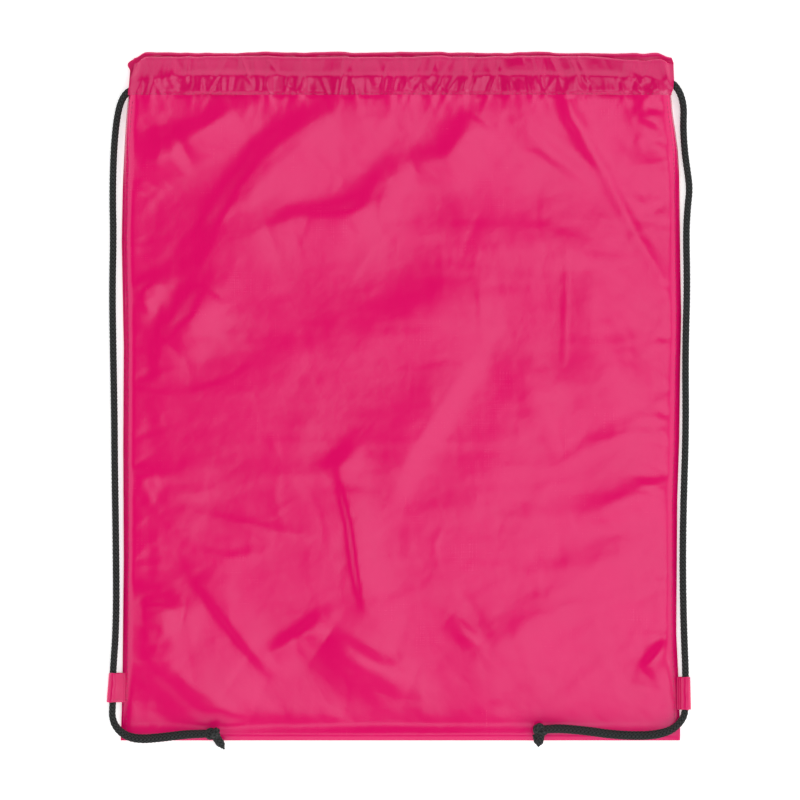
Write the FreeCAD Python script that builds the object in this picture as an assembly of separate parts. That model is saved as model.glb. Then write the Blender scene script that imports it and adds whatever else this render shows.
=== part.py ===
import FreeCAD, Part
import math
import os

# A two-cord drawstring bag of thin cloth, lying flat on its back panel with its mouth towards +Y.
# Its thickness is along +Z, and z = 0 is the surface that it lies on. Units are millimetres.
# The panels are one cut of cloth folded at the bottom. Their tops are turned down into two casings,
# and each drawcord runs through both casings, back out of its own side, and down to its own tab.

# ---- panels ----
bag_width = 340.0          # across the bottom corners
bag_length = 419.0         # from the bottom fold to the back rim
cloth = 0.8                # stand-in thickness of one crumpled panel
loft_height = 14.0         # top of the front panel over the middle of the bag
flat_margin = 12.0         # flat band inside each side edge, where the seam holds both panels down
bottom_flat = 13.0         # the same above the bottom fold
flank_run = 33.0           # plan width of the slope from the flat band up to the middle
low_inset = 1.6            # how far each side edge stands in from bag_width / 2, low on the bag,
shoulder_inset = 2.2       # at the shoulder, where the side seam stops,
waist_inset = 4.7          # and at the casing's stitch line
low_up = 99.5              # the low inset's height above the bottom fold
middle_up = 254.5          # the full width's height above the bottom fold
shoulder_down = 23.3       # from the casing's stitch line down to the shoulder

# ---- casings ----
back_casing_depth = 26.2   # from the stitch line to the back rim
front_casing_depth = 23.5  # the front rim stands lower than the back one
casing_wall = 0.7
tunnel_clearance = 1.1     # between a strand and the tunnel's two walls together
lip_gap = 0.3              # between the two casings where they meet at their ends
end_notch = 8.0            # length at each end where only the outer wall covers the cords
hinge_gap = 0.2            # on each side of the front casing's turning line
cut_past = 1.0             # how far each cut runs on past the solid that it opens

# ---- drawcord ----
cord_width = 4.0           # a soft braid that lies flat
cord_thickness = 1.9
strand_gap = 0.1           # between a pair's two strands, one lying on the other
floor_gap = 0.05           # between the lower strand and the surface
cord_rest_gap = 0.6        # between the cord and the panel under it
body_gap = 0.4             # between two stretches of one strand on different bodies
left_run_up = 4.1          # the left drawcord's place in the casing, above the stitch line
run_gap = 1.6              # between the two drawcords in the casing
turn_reach = 4.1           # how far a drawcord goes past its tunnel before it turns back
turn_dip = 0.4             # how far it comes down with the casing on that way
knot_length = 11.6
knot_width = 10.4
knot_height = 8.8
tail_taper = 4.0           # length of each tail's heat-cut point
tip_width = 1.2

# ---- tabs ----
tab_wall = 0.5
tab_clearance = 0.25       # round the pair of strands, so that it can turn in the tab
left_tab_out = 9.0         # from bag_width / 2 to the tab's outer side
right_tab_out = 6.4
left_tab_length = 18.0
right_tab_length = 20.1
left_tab_up = 22.8         # from the bottom fold to the tab's lower end
right_tab_up = 18.3

# ---- stitching ----
thread = 0.4               # thread thickness
side_stitch_in = 3.0       # from the side edge to its stitch line
casing_stitch_up = 0.9     # from the casing's lower edge to its stitch line
tab_stitch_in = 1.6        # from each end of a tab to its stitch line
tab_stitch_margin = 0.5    # between a tab's stitch line and the tab's long sides

# ---- places worked out from the sizes ----
bag_x = (left_tab_out - right_tab_out) / 2      # puts the box of bag and tabs on x = 0
half_width = bag_width / 2
strand_pitch = cord_thickness + strand_gap
half_pitch = strand_pitch / 2
edge_radius = cord_thickness / 2
flat_half = cord_width / 2 - edge_radius        # half of a strand's width between its round edges
casing_height = cord_thickness + tunnel_clearance + 2 * casing_wall
casing_drop = loft_height - 2 * casing_height - lip_gap     # front casing ends, below its middle
tab_bore_radius = math.hypot(flat_half, half_pitch) + edge_radius + tab_clearance
right_run_up = left_run_up + cord_width + run_gap
bottom_y = -bag_length / 2
mouth_y = bag_length / 2
stitch_y = mouth_y - back_casing_depth
shoulder_y = stitch_y - shoulder_down
front_rim_y = stitch_y + front_casing_depth
rim_z = 2 * cloth
plateau_half = half_width - flat_margin - flank_run
casing_half = half_width - waist_inset
tunnel_half = casing_half - end_notch
back_run_z = casing_height / 2
front_run_z = loft_height - casing_height / 2
floor_pair_z = floor_gap + half_pitch + edge_radius
bag_pair_z = rim_z + cord_rest_gap + half_pitch + edge_radius
tab_pair_z = tab_wall + tab_bore_radius

os.makedirs("parts", exist_ok=True)


def export(name, shape):
    """Write one node and say what it is."""
    solids = len(shape.Solids)
    print(f"{name}: {solids} solid(s), {shape.Volume:.1f} mm3, valid {shape.isValid()}")
    shape.exportStep(f"parts/{name}.step")


def polygon(points):
    """A closed wire through (x, y, z) points."""
    corners = [FreeCAD.Vector(*point) for point in points]
    return Part.makePolygon(corners + corners[:1])


def between(low, high, share):
    """The value a share of the way from low to high."""
    return low + (high - low) * share


def side_half(y):
    """Half of the bag's width at y, from the outline's named insets."""
    stations = [
        (bottom_y, half_width),
        (bottom_y + low_up, half_width - low_inset),
        (bottom_y + middle_up, half_width),
        (shoulder_y, half_width - shoulder_inset),
        (stitch_y, casing_half),
    ]
    for (y_low, half_low), (y_high, half_high) in zip(stations, stations[1:]):
        if y <= y_high:
            return between(half_low, half_high, (y - y_low) / (y_high - y_low))
    return casing_half


def casing_z(x):
    """Middle height of the front casing's tunnel at x, measured from the bag's middle line."""
    past = max(0.0, abs(x) - plateau_half)
    return front_run_z - casing_drop * past / (casing_half - plateau_half)


# ---- panels ----

def back_panel():
    """The flat panel under the bag."""
    stations = [bottom_y, bottom_y + low_up, bottom_y + middle_up, shoulder_y, stitch_y]
    right = [(bag_x + side_half(y), y, 0.0) for y in stations]
    left = [(bag_x - side_half(y), y, 0.0) for y in reversed(stations)]
    return Part.Face(polygon(right + left)).extrude(FreeCAD.Vector(0, 0, cloth))


def front_section(y, rim_top, shoulder_top, plateau_top):
    """The front panel's cross-section at y, as a closed band one cloth thick."""
    half = side_half(y)
    tops = [
        (half, rim_top),
        (half - flat_margin, shoulder_top),
        (plateau_half, plateau_top),
    ]
    right = [(bag_x + x, y, z) for x, z in tops]
    left = [(bag_x - x, y, z) for x, z in reversed(tops)]
    upper = right + left
    lower = [(x, y, z - cloth) for x, y, z in reversed(upper)]
    return polygon(upper + lower)


def front_panel():
    """The lofted panel on top: flat at its seams and bottom, raised in the middle, open at the mouth."""
    top_end = stitch_y - hinge_gap
    end_rim = casing_z(casing_half) + casing_height / 2
    end_flank = casing_z(casing_half - flat_margin) + casing_height / 2
    rise_start = bottom_y + bottom_flat
    rise_end = rise_start + flank_run
    sections = [
        front_section(bottom_y, rim_z, rim_z, rim_z),
        front_section(rise_start, rim_z, rim_z, rim_z),
        front_section(rise_end, rim_z, rim_z, loft_height),
        front_section(bottom_y + low_up, rim_z, rim_z, loft_height),
        front_section(bottom_y + middle_up, rim_z, rim_z, loft_height),
        front_section(shoulder_y, rim_z, rim_z, loft_height),
        front_section(top_end, end_rim, end_flank, loft_height),
    ]
    return Part.makeLoft(sections, True, True)


# ---- casings ----

def casing_body(stations, y_low, y_high, height):
    """A ruled strip along x through (x, middle height) stations."""
    sections = []
    for x, z in stations:
        low = z - height / 2
        high = z + height / 2
        corners = [(x, y_low, low), (x, y_high, low), (x, y_high, high), (x, y_low, high)]
        sections.append(polygon(corners))
    return Part.makeLoft(sections, True, True)


def casing(stations, y_low, y_high, notch_low, notch_high):
    """A turned-down hem: a strip with the cord's tunnel through it, and notches at its two ends."""
    outer = casing_body(stations, y_low, y_high, casing_height)
    tunnel_height = casing_height - 2 * casing_wall
    first_x, first_z = stations[0]
    last_x, last_z = stations[-1]
    through = [(first_x - cut_past, first_z)] + stations[1:-1] + [(last_x + cut_past, last_z)]
    tunnel = casing_body(through, y_low + casing_wall, y_high - casing_wall, tunnel_height)
    hem = outer.cut(tunnel)
    for side in (-1, 1):
        inner_x = bag_x + side * tunnel_half
        outer_x = bag_x + side * (casing_half + cut_past)
        notch = Part.makeBox(
            abs(outer_x - inner_x),
            y_high - casing_wall - y_low + cut_past,
            notch_high - notch_low,
            FreeCAD.Vector(min(inner_x, outer_x), y_low - cut_past, notch_low),
        )
        hem = hem.cut(notch)
    return hem


def front_stations():
    """Where the front casing changes slope."""
    places = [-casing_half, -plateau_half, plateau_half, casing_half]
    return [(bag_x + x, casing_z(x)) for x in places]


def front_casing():
    """The front hem. Its ends keep only the outer wall, which covers the drawcords' turns."""
    end_top = casing_z(casing_half) + casing_height / 2
    wall_low = end_top - casing_wall
    return casing(front_stations(), stitch_y + hinge_gap, front_rim_y, 0.0, wall_low)


def back_casing():
    """The back hem, flat on the surface. Its ends keep only the wall underneath."""
    stations = [(bag_x - casing_half, back_run_z), (bag_x + casing_half, back_run_z)]
    return casing(stations, stitch_y, mouth_y, casing_wall, casing_height + cut_past)


# ---- drawcords ----

def rounded_route(points):
    """Straight runs joined by tangent arcs, each as large as its two runs allow."""
    corners = [FreeCAD.Vector(*point) for point in points]
    edges = []
    radii = []
    start = corners[0]
    for before, corner, after in zip(corners, corners[1:], corners[2:]):
        back = before - corner
        on = after - corner
        reach = 0.45 * min(back.Length, on.Length)
        turn = math.pi - back.getAngle(on)
        radius = reach / math.tan(turn / 2)
        back.normalize()
        on.normalize()
        bisector = (back + on).normalize()
        first = corner + back * reach
        last = corner + on * reach
        middle = corner + bisector * (radius / math.cos(turn / 2) - radius)
        edges.append(Part.LineSegment(start, first).toShape())
        edges.append(Part.Arc(first, middle, last).toShape())
        radii.append(radius)
        start = last
    edges.append(Part.LineSegment(start, corners[-1]).toShape())
    return Part.Wire(edges), radii


def braid(name, points, in_casing=False):
    """A flat strand with round edges. It lies flat, or in a casing it keeps its width along y."""
    path, radii = rounded_route(points)
    start = FreeCAD.Vector(*points[0])
    along = (FreeCAD.Vector(*points[1]) - start).normalize()
    if in_casing:
        fixed_way = FreeCAD.Vector(0, 1, 0)
        across = fixed_way
    else:
        fixed_way = FreeCAD.Vector(0, 0, 1)
        across = along.cross(fixed_way).normalize()
    up = across.cross(along).normalize()
    corner = {(a, b): start + across * (a * flat_half) + up * (b * edge_radius)
              for a in (-1, 1) for b in (-1, 1)}
    ends = {a: start + across * (a * cord_width / 2) for a in (-1, 1)}
    section = Part.Wire([
        Part.LineSegment(corner[-1, 1], corner[1, 1]).toShape(),
        Part.Arc(corner[1, 1], ends[1], corner[1, -1]).toShape(),
        Part.LineSegment(corner[1, -1], corner[-1, -1]).toShape(),
        Part.Arc(corner[-1, -1], ends[-1], corner[-1, 1]).toShape(),
    ])
    sweep = Part.BRepOffsetAPI.MakePipeShell(path)
    sweep.setBiNormalMode(fixed_way)
    sweep.add(section, False, False)
    sweep.build()
    sweep.makeSolid()
    solid = Part.Solid(sweep.shape())
    if solid.Volume < 0:
        solid.reverse()
    area = 2 * flat_half * cord_thickness + math.pi * edge_radius ** 2
    tightest = f"{min(radii):.1f}" if radii else "straight"
    print(f"{name}: length {path.Length:.1f} mm, tightest radius {tightest} mm, "
          f"volume / (section x length) {solid.Volume / (area * path.Length):.3f}")
    return solid


def upper_strand(route):
    """The points of the strand that lies on top. A route gives x, y, height, half pitch and fan."""
    return [(x, y - fan, z + lift) for x, y, z, lift, fan in route]


def lower_strand(route):
    """The points of the strand underneath."""
    return [(x, y + fan, z - lift) for x, y, z, lift, fan in route]


def beside(side, points):
    """A route given by how far each point lies outside the bag's widest side, made x first."""
    return [(bag_x + side * (half_width + out), *rest) for out, *rest in points]


# A drawcord's way from the casing's notch down the side of the bag, as a pair of strands, to its tab.
exit_out = tunnel_half + body_gap - half_width
exit_top_z = casing_z(tunnel_half)
exit_pair_z = (exit_top_z + back_run_z) / 2
exit_lift = (exit_top_z - back_run_z) / 2
left_loop_out = left_tab_out - tab_wall - tab_bore_radius
right_loop_out = right_tab_out - tab_wall - tab_bore_radius
left_tab_x = bag_x - half_width - left_loop_out
right_tab_x = bag_x + half_width + right_loop_out
left_side_x = bag_x - half_width
right_side_x = bag_x + half_width
left_tab_y = bottom_y + left_tab_up + left_tab_length / 2
right_tab_y = bottom_y + right_tab_up + right_tab_length / 2

left_strap_route = beside(-1, [
    (exit_out, stitch_y + left_run_up, exit_pair_z, exit_lift, 0.0),
    (-6.9, stitch_y + left_run_up - 0.1, exit_pair_z - 0.1, exit_lift - 0.3, 0.0),
    (-2.1, stitch_y + left_run_up - 2.8, exit_pair_z - 0.7, half_pitch + 0.9, 0.0),
    (1.1, stitch_y - 4.4, floor_pair_z + 1.1, half_pitch + 0.3, 0.0),
    (3.0, stitch_y - 11.9, floor_pair_z + 0.1, half_pitch, 0.0),
    (4.4, stitch_y - 22.8, floor_pair_z, half_pitch, 0.0),
    (5.5, 145.0, floor_pair_z, half_pitch, 0.0),
    (6.0, 121.0, floor_pair_z, half_pitch, 0.0),
    (5.5, 97.0, floor_pair_z, half_pitch, 0.0),
    (6.2, 64.0, floor_pair_z, half_pitch, 0.0),
    (5.7, 30.0, floor_pair_z, half_pitch, 0.0),
    (5.0, -8.0, floor_pair_z, half_pitch, 0.0),
    (4.7, -45.0, floor_pair_z, half_pitch, 0.0),
    (4.0, -88.0, floor_pair_z, half_pitch, 0.0),
    (3.7, -124.0, floor_pair_z, half_pitch, 0.0),
    (4.2, bottom_y + 63.5, floor_pair_z + 0.2, half_pitch, 0.0),
    (5.3, bottom_y + 47.5, floor_pair_z + 0.8, half_pitch, 0.0),
    (left_loop_out, bottom_y + 39.0, tab_pair_z, half_pitch, 0.0),
    (left_loop_out, left_tab_y + body_gap / 2, tab_pair_z, half_pitch, 0.0),
])
right_strap_route = beside(1, [
    (exit_out, stitch_y + right_run_up, exit_pair_z, exit_lift, 0.0),
    (-8.1, stitch_y + right_run_up - 0.4, exit_pair_z - 0.1, exit_lift - 0.3, 0.0),
    (-3.0, stitch_y + right_run_up - 3.6, exit_pair_z - 0.6, exit_lift - 0.8, 0.0),
    (0.5, stitch_y + right_run_up - 9.4, floor_pair_z + 1.3, half_pitch + 0.4, 0.0),
    (2.3, stitch_y - 7.7, floor_pair_z + 0.3, half_pitch, 0.0),
    (1.8, stitch_y - 18.8, floor_pair_z, half_pitch, 0.0),
    (2.7, 149.0, floor_pair_z, half_pitch, 0.0),
    (4.6, 136.0, floor_pair_z, half_pitch, 0.0),
    (5.8, 126.0, floor_pair_z, half_pitch, 0.0),
    (4.4, 114.0, floor_pair_z, half_pitch, 0.0),
    (3.6, 98.0, floor_pair_z, half_pitch, 0.0),
    (4.3, 68.0, floor_pair_z, half_pitch, 0.0),
    (3.1, 26.0, floor_pair_z, half_pitch, 0.0),
    (3.5, -20.0, floor_pair_z, half_pitch, 0.0),
    (2.1, -62.0, floor_pair_z, half_pitch, 0.0),
    (1.5, -98.0, floor_pair_z, half_pitch, 0.0),
    (1.9, -130.0, floor_pair_z, half_pitch, 0.0),
    (2.6, bottom_y + 57.5, floor_pair_z + 0.3, half_pitch, 0.0),
    (right_loop_out, bottom_y + 42.5, floor_pair_z + 1.0, half_pitch, 0.0),
    (right_loop_out, right_tab_y + body_gap / 2, tab_pair_z, half_pitch, 0.0),
])

# The pair below each tab, round the bag's bottom corner and along its bottom edge to the knot.
left_end_route = beside(-1, [
    (left_loop_out, left_tab_y - body_gap / 2, tab_pair_z, half_pitch, 0.0),
    (left_loop_out, bottom_y + 21.5, tab_pair_z, half_pitch, 0.0),
    (6.4, bottom_y + 14.0, bag_pair_z - 0.35, half_pitch, 0.1),
    (3.8, bottom_y + 7.3, bag_pair_z, half_pitch, 0.3),
    (-2.4, bottom_y + 2.1, bag_pair_z, half_pitch, 0.5),
    (-11.2, bottom_y + 0.3, bag_pair_z, half_pitch, 0.6),
    (-24.7, bottom_y + 1.5, bag_pair_z, half_pitch, 0.6),
    (-37.7, bottom_y + 3.2, bag_pair_z, half_pitch, 0.6),
    (-46.2, bottom_y + 3.6, bag_pair_z + 0.55, half_pitch, 0.5),
    (-53.2, bottom_y + 3.9, bag_pair_z + 1.35, half_pitch, 0.3),
])
right_end_route = beside(1, [
    (right_loop_out, right_tab_y - body_gap / 2, tab_pair_z, half_pitch, 0.0),
    (right_loop_out, bottom_y + 18.0, tab_pair_z, half_pitch, 0.0),
    (1.3, bottom_y + 12.0, bag_pair_z - 0.15, half_pitch, 0.1),
    (-4.7, bottom_y + 6.1, bag_pair_z, half_pitch, 0.3),
    (-13.8, bottom_y + 3.2, bag_pair_z, half_pitch, 0.6),
    (-25.3, bottom_y + 2.4, bag_pair_z, half_pitch, 0.6),
    (-41.3, bottom_y + 3.2, bag_pair_z, half_pitch, 0.6),
    (-58.3, bottom_y + 5.6, bag_pair_z, half_pitch, 0.6),
    (-72.8, bottom_y + 6.9, bag_pair_z, half_pitch, 0.6),
    (-79.8, bottom_y + 6.6, bag_pair_z + 0.45, half_pitch, 0.5),
    (-85.3, bottom_y + 6.2, bag_pair_z + 1.35, half_pitch, 0.3),
])
knot_z = rim_z + cord_rest_gap + knot_height / 2
left_knot_centre = (left_side_x + 55.6, bottom_y + 4.0, knot_z)
right_knot_centre = (right_side_x - 85.8, bottom_y + 6.1, knot_z)

# Each tail's two ends, seen from its knot's centre.
left_tail_ends = (
    ((1.6, -1.4, -0.5), (6.5, -9.8, -2.9)),
    ((0.5, -1.8, -2.5), (5.2, -9.3, -5.0)),
)
right_tail_ends = (
    ((1.1, -2.8, -0.5), (-0.8, -10.3, -2.7)),
    ((-2.1, -2.8, -2.5), (-1.2, -9.7, -4.6)),
)


def front_run(side, up):
    """One strand through the front casing's tunnel, where the casing comes down at both ends."""
    y = stitch_y + up
    places = [-tunnel_half, -plateau_half, plateau_half, tunnel_half]
    points = [(bag_x + x, y, casing_z(x)) for x in places]
    return braid(f"{side}_cord_front_run", points, True)


def back_run(side, far, up):
    """The same drawcord's turn at the far end and its way back through the back casing."""
    y = stitch_y + up
    start_x = bag_x + far * (tunnel_half + body_gap)
    turn_x = start_x + far * turn_reach
    points = [
        (start_x, y, exit_top_z),
        (turn_x, y, exit_top_z - turn_dip),
        (turn_x, y, back_run_z),
        (bag_x - far * tunnel_half, y, back_run_z),
    ]
    return braid(f"{side}_cord_back_run", points, True)


def knot(centre):
    """An overhand knot of both strands, as a plain egg."""
    ball = Part.makeSphere(1.0)
    shape = FreeCAD.Matrix()
    shape.scale(knot_length / 2, knot_width / 2, knot_height / 2)
    egg = ball.transformGeometry(shape)
    egg.translate(FreeCAD.Vector(*centre))
    return egg


def tail(start, end):
    """A strand's cut end from the knot to its pointed tip."""
    along = (end - start).normalize()
    across = along.cross(FreeCAD.Vector(0, 0, 1)).normalize()
    neck = end - along * tail_taper
    up = across.cross(along).normalize() * (cord_thickness / 2)
    outline = [
        start + across * (cord_width / 2),
        neck + across * (cord_width / 2),
        end + across * (tip_width / 2),
        end - across * (tip_width / 2),
        neck - across * (cord_width / 2),
        start - across * (cord_width / 2),
    ]
    face = Part.Face(Part.makePolygon([point - up for point in outline + outline[:1]]))
    return face.extrude(up * 2)


def pair_of_tails(centre, ends):
    """Both strands' tails, one on the other, placed from their knot's centre."""
    knot_centre = FreeCAD.Vector(*centre)
    placed = [[knot_centre + FreeCAD.Vector(*point) for point in strand] for strand in ends]
    return Part.makeCompound([tail(start, end) for start, end in placed])


# ---- tabs and stitching ----

def tab(side, centre_x, out, up, length):
    """A loop of the bag's cloth, caught in the side seam by its foot."""
    y_low = bottom_y + up
    middle = FreeCAD.Vector(centre_x, y_low, tab_pair_z)
    along = FreeCAD.Vector(0, 1, 0)
    ring = Part.makeCylinder(tab_bore_radius + tab_wall, length, middle, along)
    bore = Part.makeCylinder(tab_bore_radius, length, middle, along)
    low_edge = side_half(y_low)
    high_edge = side_half(y_low + length)
    foot = Part.Face(polygon([
        (centre_x, y_low, 0.0),
        (bag_x + side * low_edge, y_low, 0.0),
        (bag_x + side * high_edge, y_low + length, 0.0),
        (centre_x, y_low + length, 0.0),
    ])).extrude(FreeCAD.Vector(0, 0, rim_z))
    return ring.fuse(foot).cut(bore).removeSplitter()


def thread_bar(start, end):
    """A row of stitching, as one flat bar of thread that lies on the cloth."""
    first = FreeCAD.Vector(*start)
    last = FreeCAD.Vector(*end)
    along = last - first
    across = along.cross(FreeCAD.Vector(0, 0, 1)).normalize() * (thread / 2)
    outline = [first + across, last + across, last - across, first - across]
    lifted = FreeCAD.Vector(0, 0, thread)
    return Part.Face(Part.makePolygon(outline + outline[:1])).extrude(lifted)


def side_stitches(side):
    """The stitch line along one side seam, from the bottom fold to the shoulder."""
    stations = [bottom_y, bottom_y + low_up, bottom_y + middle_up, shoulder_y]
    points = [(bag_x + side * (side_half(y) - side_stitch_in), y, rim_z) for y in stations]
    return Part.makeCompound([thread_bar(a, b) for a, b in zip(points, points[1:])])


def front_casing_stitches():
    """The stitch line along the front casing's lower edge, on its outer wall."""
    y = stitch_y + hinge_gap + casing_stitch_up
    points = [(x, y, z + casing_height / 2) for x, z in front_stations()]
    return Part.makeCompound([thread_bar(a, b) for a, b in zip(points, points[1:])])


def back_casing_stitches():
    """The same line along the back casing, on its wall inside the mouth."""
    y = stitch_y + casing_stitch_up
    start = (bag_x - tunnel_half, y, casing_height)
    end = (bag_x + tunnel_half, y, casing_height)
    return thread_bar(start, end)


def tab_stitches(centre_x, up, length):
    """A row of stitches across each end of a tab, on its top."""
    half = tab_bore_radius - tab_stitch_margin
    outer_radius = tab_bore_radius + tab_wall
    crest = tab_pair_z + outer_radius
    along = FreeCAD.Vector(0, 1, 0)
    rows = []
    for y in (bottom_y + up + tab_stitch_in, bottom_y + up + length - tab_stitch_in):
        middle = FreeCAD.Vector(centre_x, y - thread / 2, tab_pair_z)
        bar = Part.makeCylinder(outer_radius + thread, thread, middle, along)
        core = Part.makeCylinder(outer_radius, thread, middle, along)
        band = Part.makeBox(2 * half, thread, crest, middle - FreeCAD.Vector(half, 0, 0))
        rows.append(bar.cut(core).common(band))
    return Part.makeCompound(rows)


export("back_panel", back_panel())
export("front_panel", front_panel())
export("back_casing", back_casing())
export("front_casing", front_casing())
export("back_casing_stitches", back_casing_stitches())
export("front_casing_stitches", front_casing_stitches())
export("left_side_stitches", side_stitches(-1))
export("right_side_stitches", side_stitches(1))

export("left_tab", tab(-1, left_tab_x, left_tab_out, left_tab_up, left_tab_length))
export("right_tab", tab(1, right_tab_x, right_tab_out, right_tab_up, right_tab_length))
export("left_tab_stitches", tab_stitches(left_tab_x, left_tab_up, left_tab_length))
export("right_tab_stitches", tab_stitches(right_tab_x, right_tab_up, right_tab_length))

export("left_cord_front_run", front_run("left", left_run_up))
export("left_cord_back_run", back_run("left", 1, left_run_up))
export("right_cord_front_run", front_run("right", right_run_up))
export("right_cord_back_run", back_run("right", -1, right_run_up))

for side, strap_route, end_route in (
    ("left", left_strap_route, left_end_route),
    ("right", right_strap_route, right_end_route),
):
    for stretch, route in (("strap", strap_route), ("end", end_route)):
        upper = f"{side}_{stretch}_upper_strand"
        lower = f"{side}_{stretch}_lower_strand"
        export(upper, braid(upper, upper_strand(route)))
        export(lower, braid(lower, lower_strand(route)))

export("left_knot", knot(left_knot_centre))
export("right_knot", knot(right_knot_centre))
export("left_tails", pair_of_tails(left_knot_centre, left_tail_ends))
export("right_tails", pair_of_tails(right_knot_centre, right_tail_ends))
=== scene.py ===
"""Looks of a two-cord drawstring bag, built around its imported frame."""

import logging
import math
from dataclasses import dataclass
from enum import Enum

import bpy
import numpy as np
from mathutils import Euler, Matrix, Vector


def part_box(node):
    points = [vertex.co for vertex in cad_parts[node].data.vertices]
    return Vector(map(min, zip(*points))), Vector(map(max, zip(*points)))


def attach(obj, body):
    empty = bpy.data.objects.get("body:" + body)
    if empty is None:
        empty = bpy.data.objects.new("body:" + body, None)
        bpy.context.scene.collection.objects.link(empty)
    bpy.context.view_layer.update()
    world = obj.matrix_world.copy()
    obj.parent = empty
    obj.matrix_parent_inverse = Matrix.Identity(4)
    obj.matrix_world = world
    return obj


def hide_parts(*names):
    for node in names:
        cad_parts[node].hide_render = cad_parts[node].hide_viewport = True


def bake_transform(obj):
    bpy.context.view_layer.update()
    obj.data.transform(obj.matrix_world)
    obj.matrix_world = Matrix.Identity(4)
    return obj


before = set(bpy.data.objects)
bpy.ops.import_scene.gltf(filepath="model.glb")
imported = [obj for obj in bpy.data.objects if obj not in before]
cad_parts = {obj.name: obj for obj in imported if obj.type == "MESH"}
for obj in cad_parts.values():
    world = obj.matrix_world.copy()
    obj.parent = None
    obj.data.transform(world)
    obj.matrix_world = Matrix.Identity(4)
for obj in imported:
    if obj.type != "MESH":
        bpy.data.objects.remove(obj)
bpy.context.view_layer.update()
LOG = logging.getLogger("bag")
MM = 0.001


# ---------------------------------------------------------------- small helpers

def clear_selection() -> None:
    """Deselect every object, the frame's nodes among them."""
    bpy.ops.object.select_all(action="DESELECT")


def activate(piece: bpy.types.Object) -> bpy.types.Object:
    """Select one piece alone and make it the active one.

    Args:
        piece: The object to work on.

    Returns:
        The same object.
    """
    clear_selection()
    piece.select_set(True)
    bpy.context.view_layer.objects.active = piece
    return piece


def smooth_step(low: float, high: float, value: np.ndarray) -> np.ndarray:
    """A soft step from 0 at low to 1 at high."""
    share = np.clip((value - low) / (high - low), 0, 1)
    return share * share * (3 - 2 * share)


def bump_at(value: np.ndarray, centre: float, width: float) -> np.ndarray:
    """A round bump of height 1 at centre."""
    return np.exp(-((value - centre) / width) ** 2)


def mesh_piece(name: str, points: np.ndarray, faces: list) -> bpy.types.Object:
    """Make a linked mesh object from points and faces.

    Args:
        name: The piece's name.
        points: An array of points, in metres.
        faces: Lists of point numbers.

    Returns:
        The new object, at the origin.
    """
    mesh = bpy.data.meshes.new(name)
    mesh.from_pydata([tuple(p) for p in points], [], faces)
    mesh.update()
    piece = bpy.data.objects.new(name, mesh)
    bpy.context.scene.collection.objects.link(piece)
    for polygon in mesh.polygons:
        polygon.use_smooth = True
    return piece


def grid_faces(rows: int, columns: int, wrap: bool = False) -> list:
    """Quads of a grid numbered row by row.

    Args:
        rows: Number of rows of points.
        columns: Number of points in a row.
        wrap: Whether each row closes on itself.

    Returns:
        A list of quads that face up when rows go along +Y and columns along +X.
    """
    last = columns if wrap else columns - 1
    quads = []
    for row in range(rows - 1):
        for column in range(last):
            a = row * columns + column
            b = row * columns + (column + 1) % columns
            quads.append((a, b, b + columns, a + columns))
    return quads


class Noise:
    """Smooth lattice noise on the plane, the same on every run."""

    def __init__(self, seed: int, size: int = 64) -> None:
        """Draw the lattice.

        Args:
            seed: Number that picks the pattern.
            size: Lattice points along each side before it repeats.
        """
        self.size = size
        self.lattice = np.random.default_rng(seed).uniform(-1, 1, (size, size))

    def __call__(self, x: np.ndarray, y: np.ndarray) -> np.ndarray:
        """Value at x and y, given in lattice steps.

        Args:
            x: Places across the bag, in metres.
            y: Places along the bag, in metres.

        Returns:
            The noise, from -1 to 1.
        """
        column = np.floor(x).astype(int)
        row = np.floor(y).astype(int)
        u = x - column
        v = y - row
        u = u * u * u * (u * (u * 6 - 15) + 10)
        v = v * v * v * (v * (v * 6 - 15) + 10)
        low = self.corner(column, row) * (1 - u) + self.corner(column + 1, row) * u
        high = self.corner(column, row + 1) * (1 - u) + self.corner(column + 1, row + 1) * u
        return low * (1 - v) + high * v

    def corner(self, column: np.ndarray, row: np.ndarray) -> np.ndarray:
        """The lattice's value at whole steps, repeated past its size."""
        return self.lattice[row % self.size, column % self.size]


# ---------------------------------------------------------------- the bag's outline and lie

@dataclass(frozen=True)
class BagSize:
    """Main places of the bag, taken from the frame, in metres."""

    stitch_y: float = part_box("back_casing")[0].y
    bottom_y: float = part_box("back_panel")[0].y - 0.5 * MM
    back_rim_y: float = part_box("back_casing")[1].y
    front_rim_y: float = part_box("front_casing")[1].y
    hinge_z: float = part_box("front_casing")[1].z
    loft: float = 10.5 * MM
    seam_z: float = 1.3 * MM
    blend_reach: float = 4.0 * MM
    panel_width: float = 0.340
    panel_length: float = 0.393
    casing_width: float = 0.332
    middle_x: float = 1.3 * MM


SIZE = BagSize()
FLOOR_SPREAD = 0.0024
FAR_AWAY = 1e9

# Each side edge as (y, x), from the mouth down, in metres.
LEFT_EDGE = (
    (0.2100, -0.1600), (0.2068, -0.1614), (0.2020, -0.1622), (0.1950, -0.1639), (0.1870, -0.1650),
    (0.1830, -0.1652), (0.1693, -0.1664), (0.1583, -0.1670), (0.1437, -0.1676), (0.1255, -0.1682),
    (0.0950, -0.1688), (0.0300, -0.1676), (-0.0330, -0.1679), (-0.1000, -0.1676), (-0.1630, -0.1682),
    (-0.1920, -0.1688), (-0.2095, -0.1694),
)
RIGHT_EDGE = (
    (0.2110, 0.1640), (0.2090, 0.1662), (0.2060, 0.1672), (0.1950, 0.1674), (0.1870, 0.1668),
    (0.1840, 0.1658), (0.1730, 0.1667), (0.1620, 0.1683), (0.1500, 0.1698), (0.1360, 0.1704),
    (0.0850, 0.1710), (0.0487, 0.1716), (0.0195, 0.1710), (-0.0268, 0.1704), (-0.0630, 0.1692),
    (-0.1060, 0.1689), (-0.1450, 0.1686), (-0.1705, 0.1698), (-0.2070, 0.1710), (-0.2095, 0.1708),
)
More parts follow.
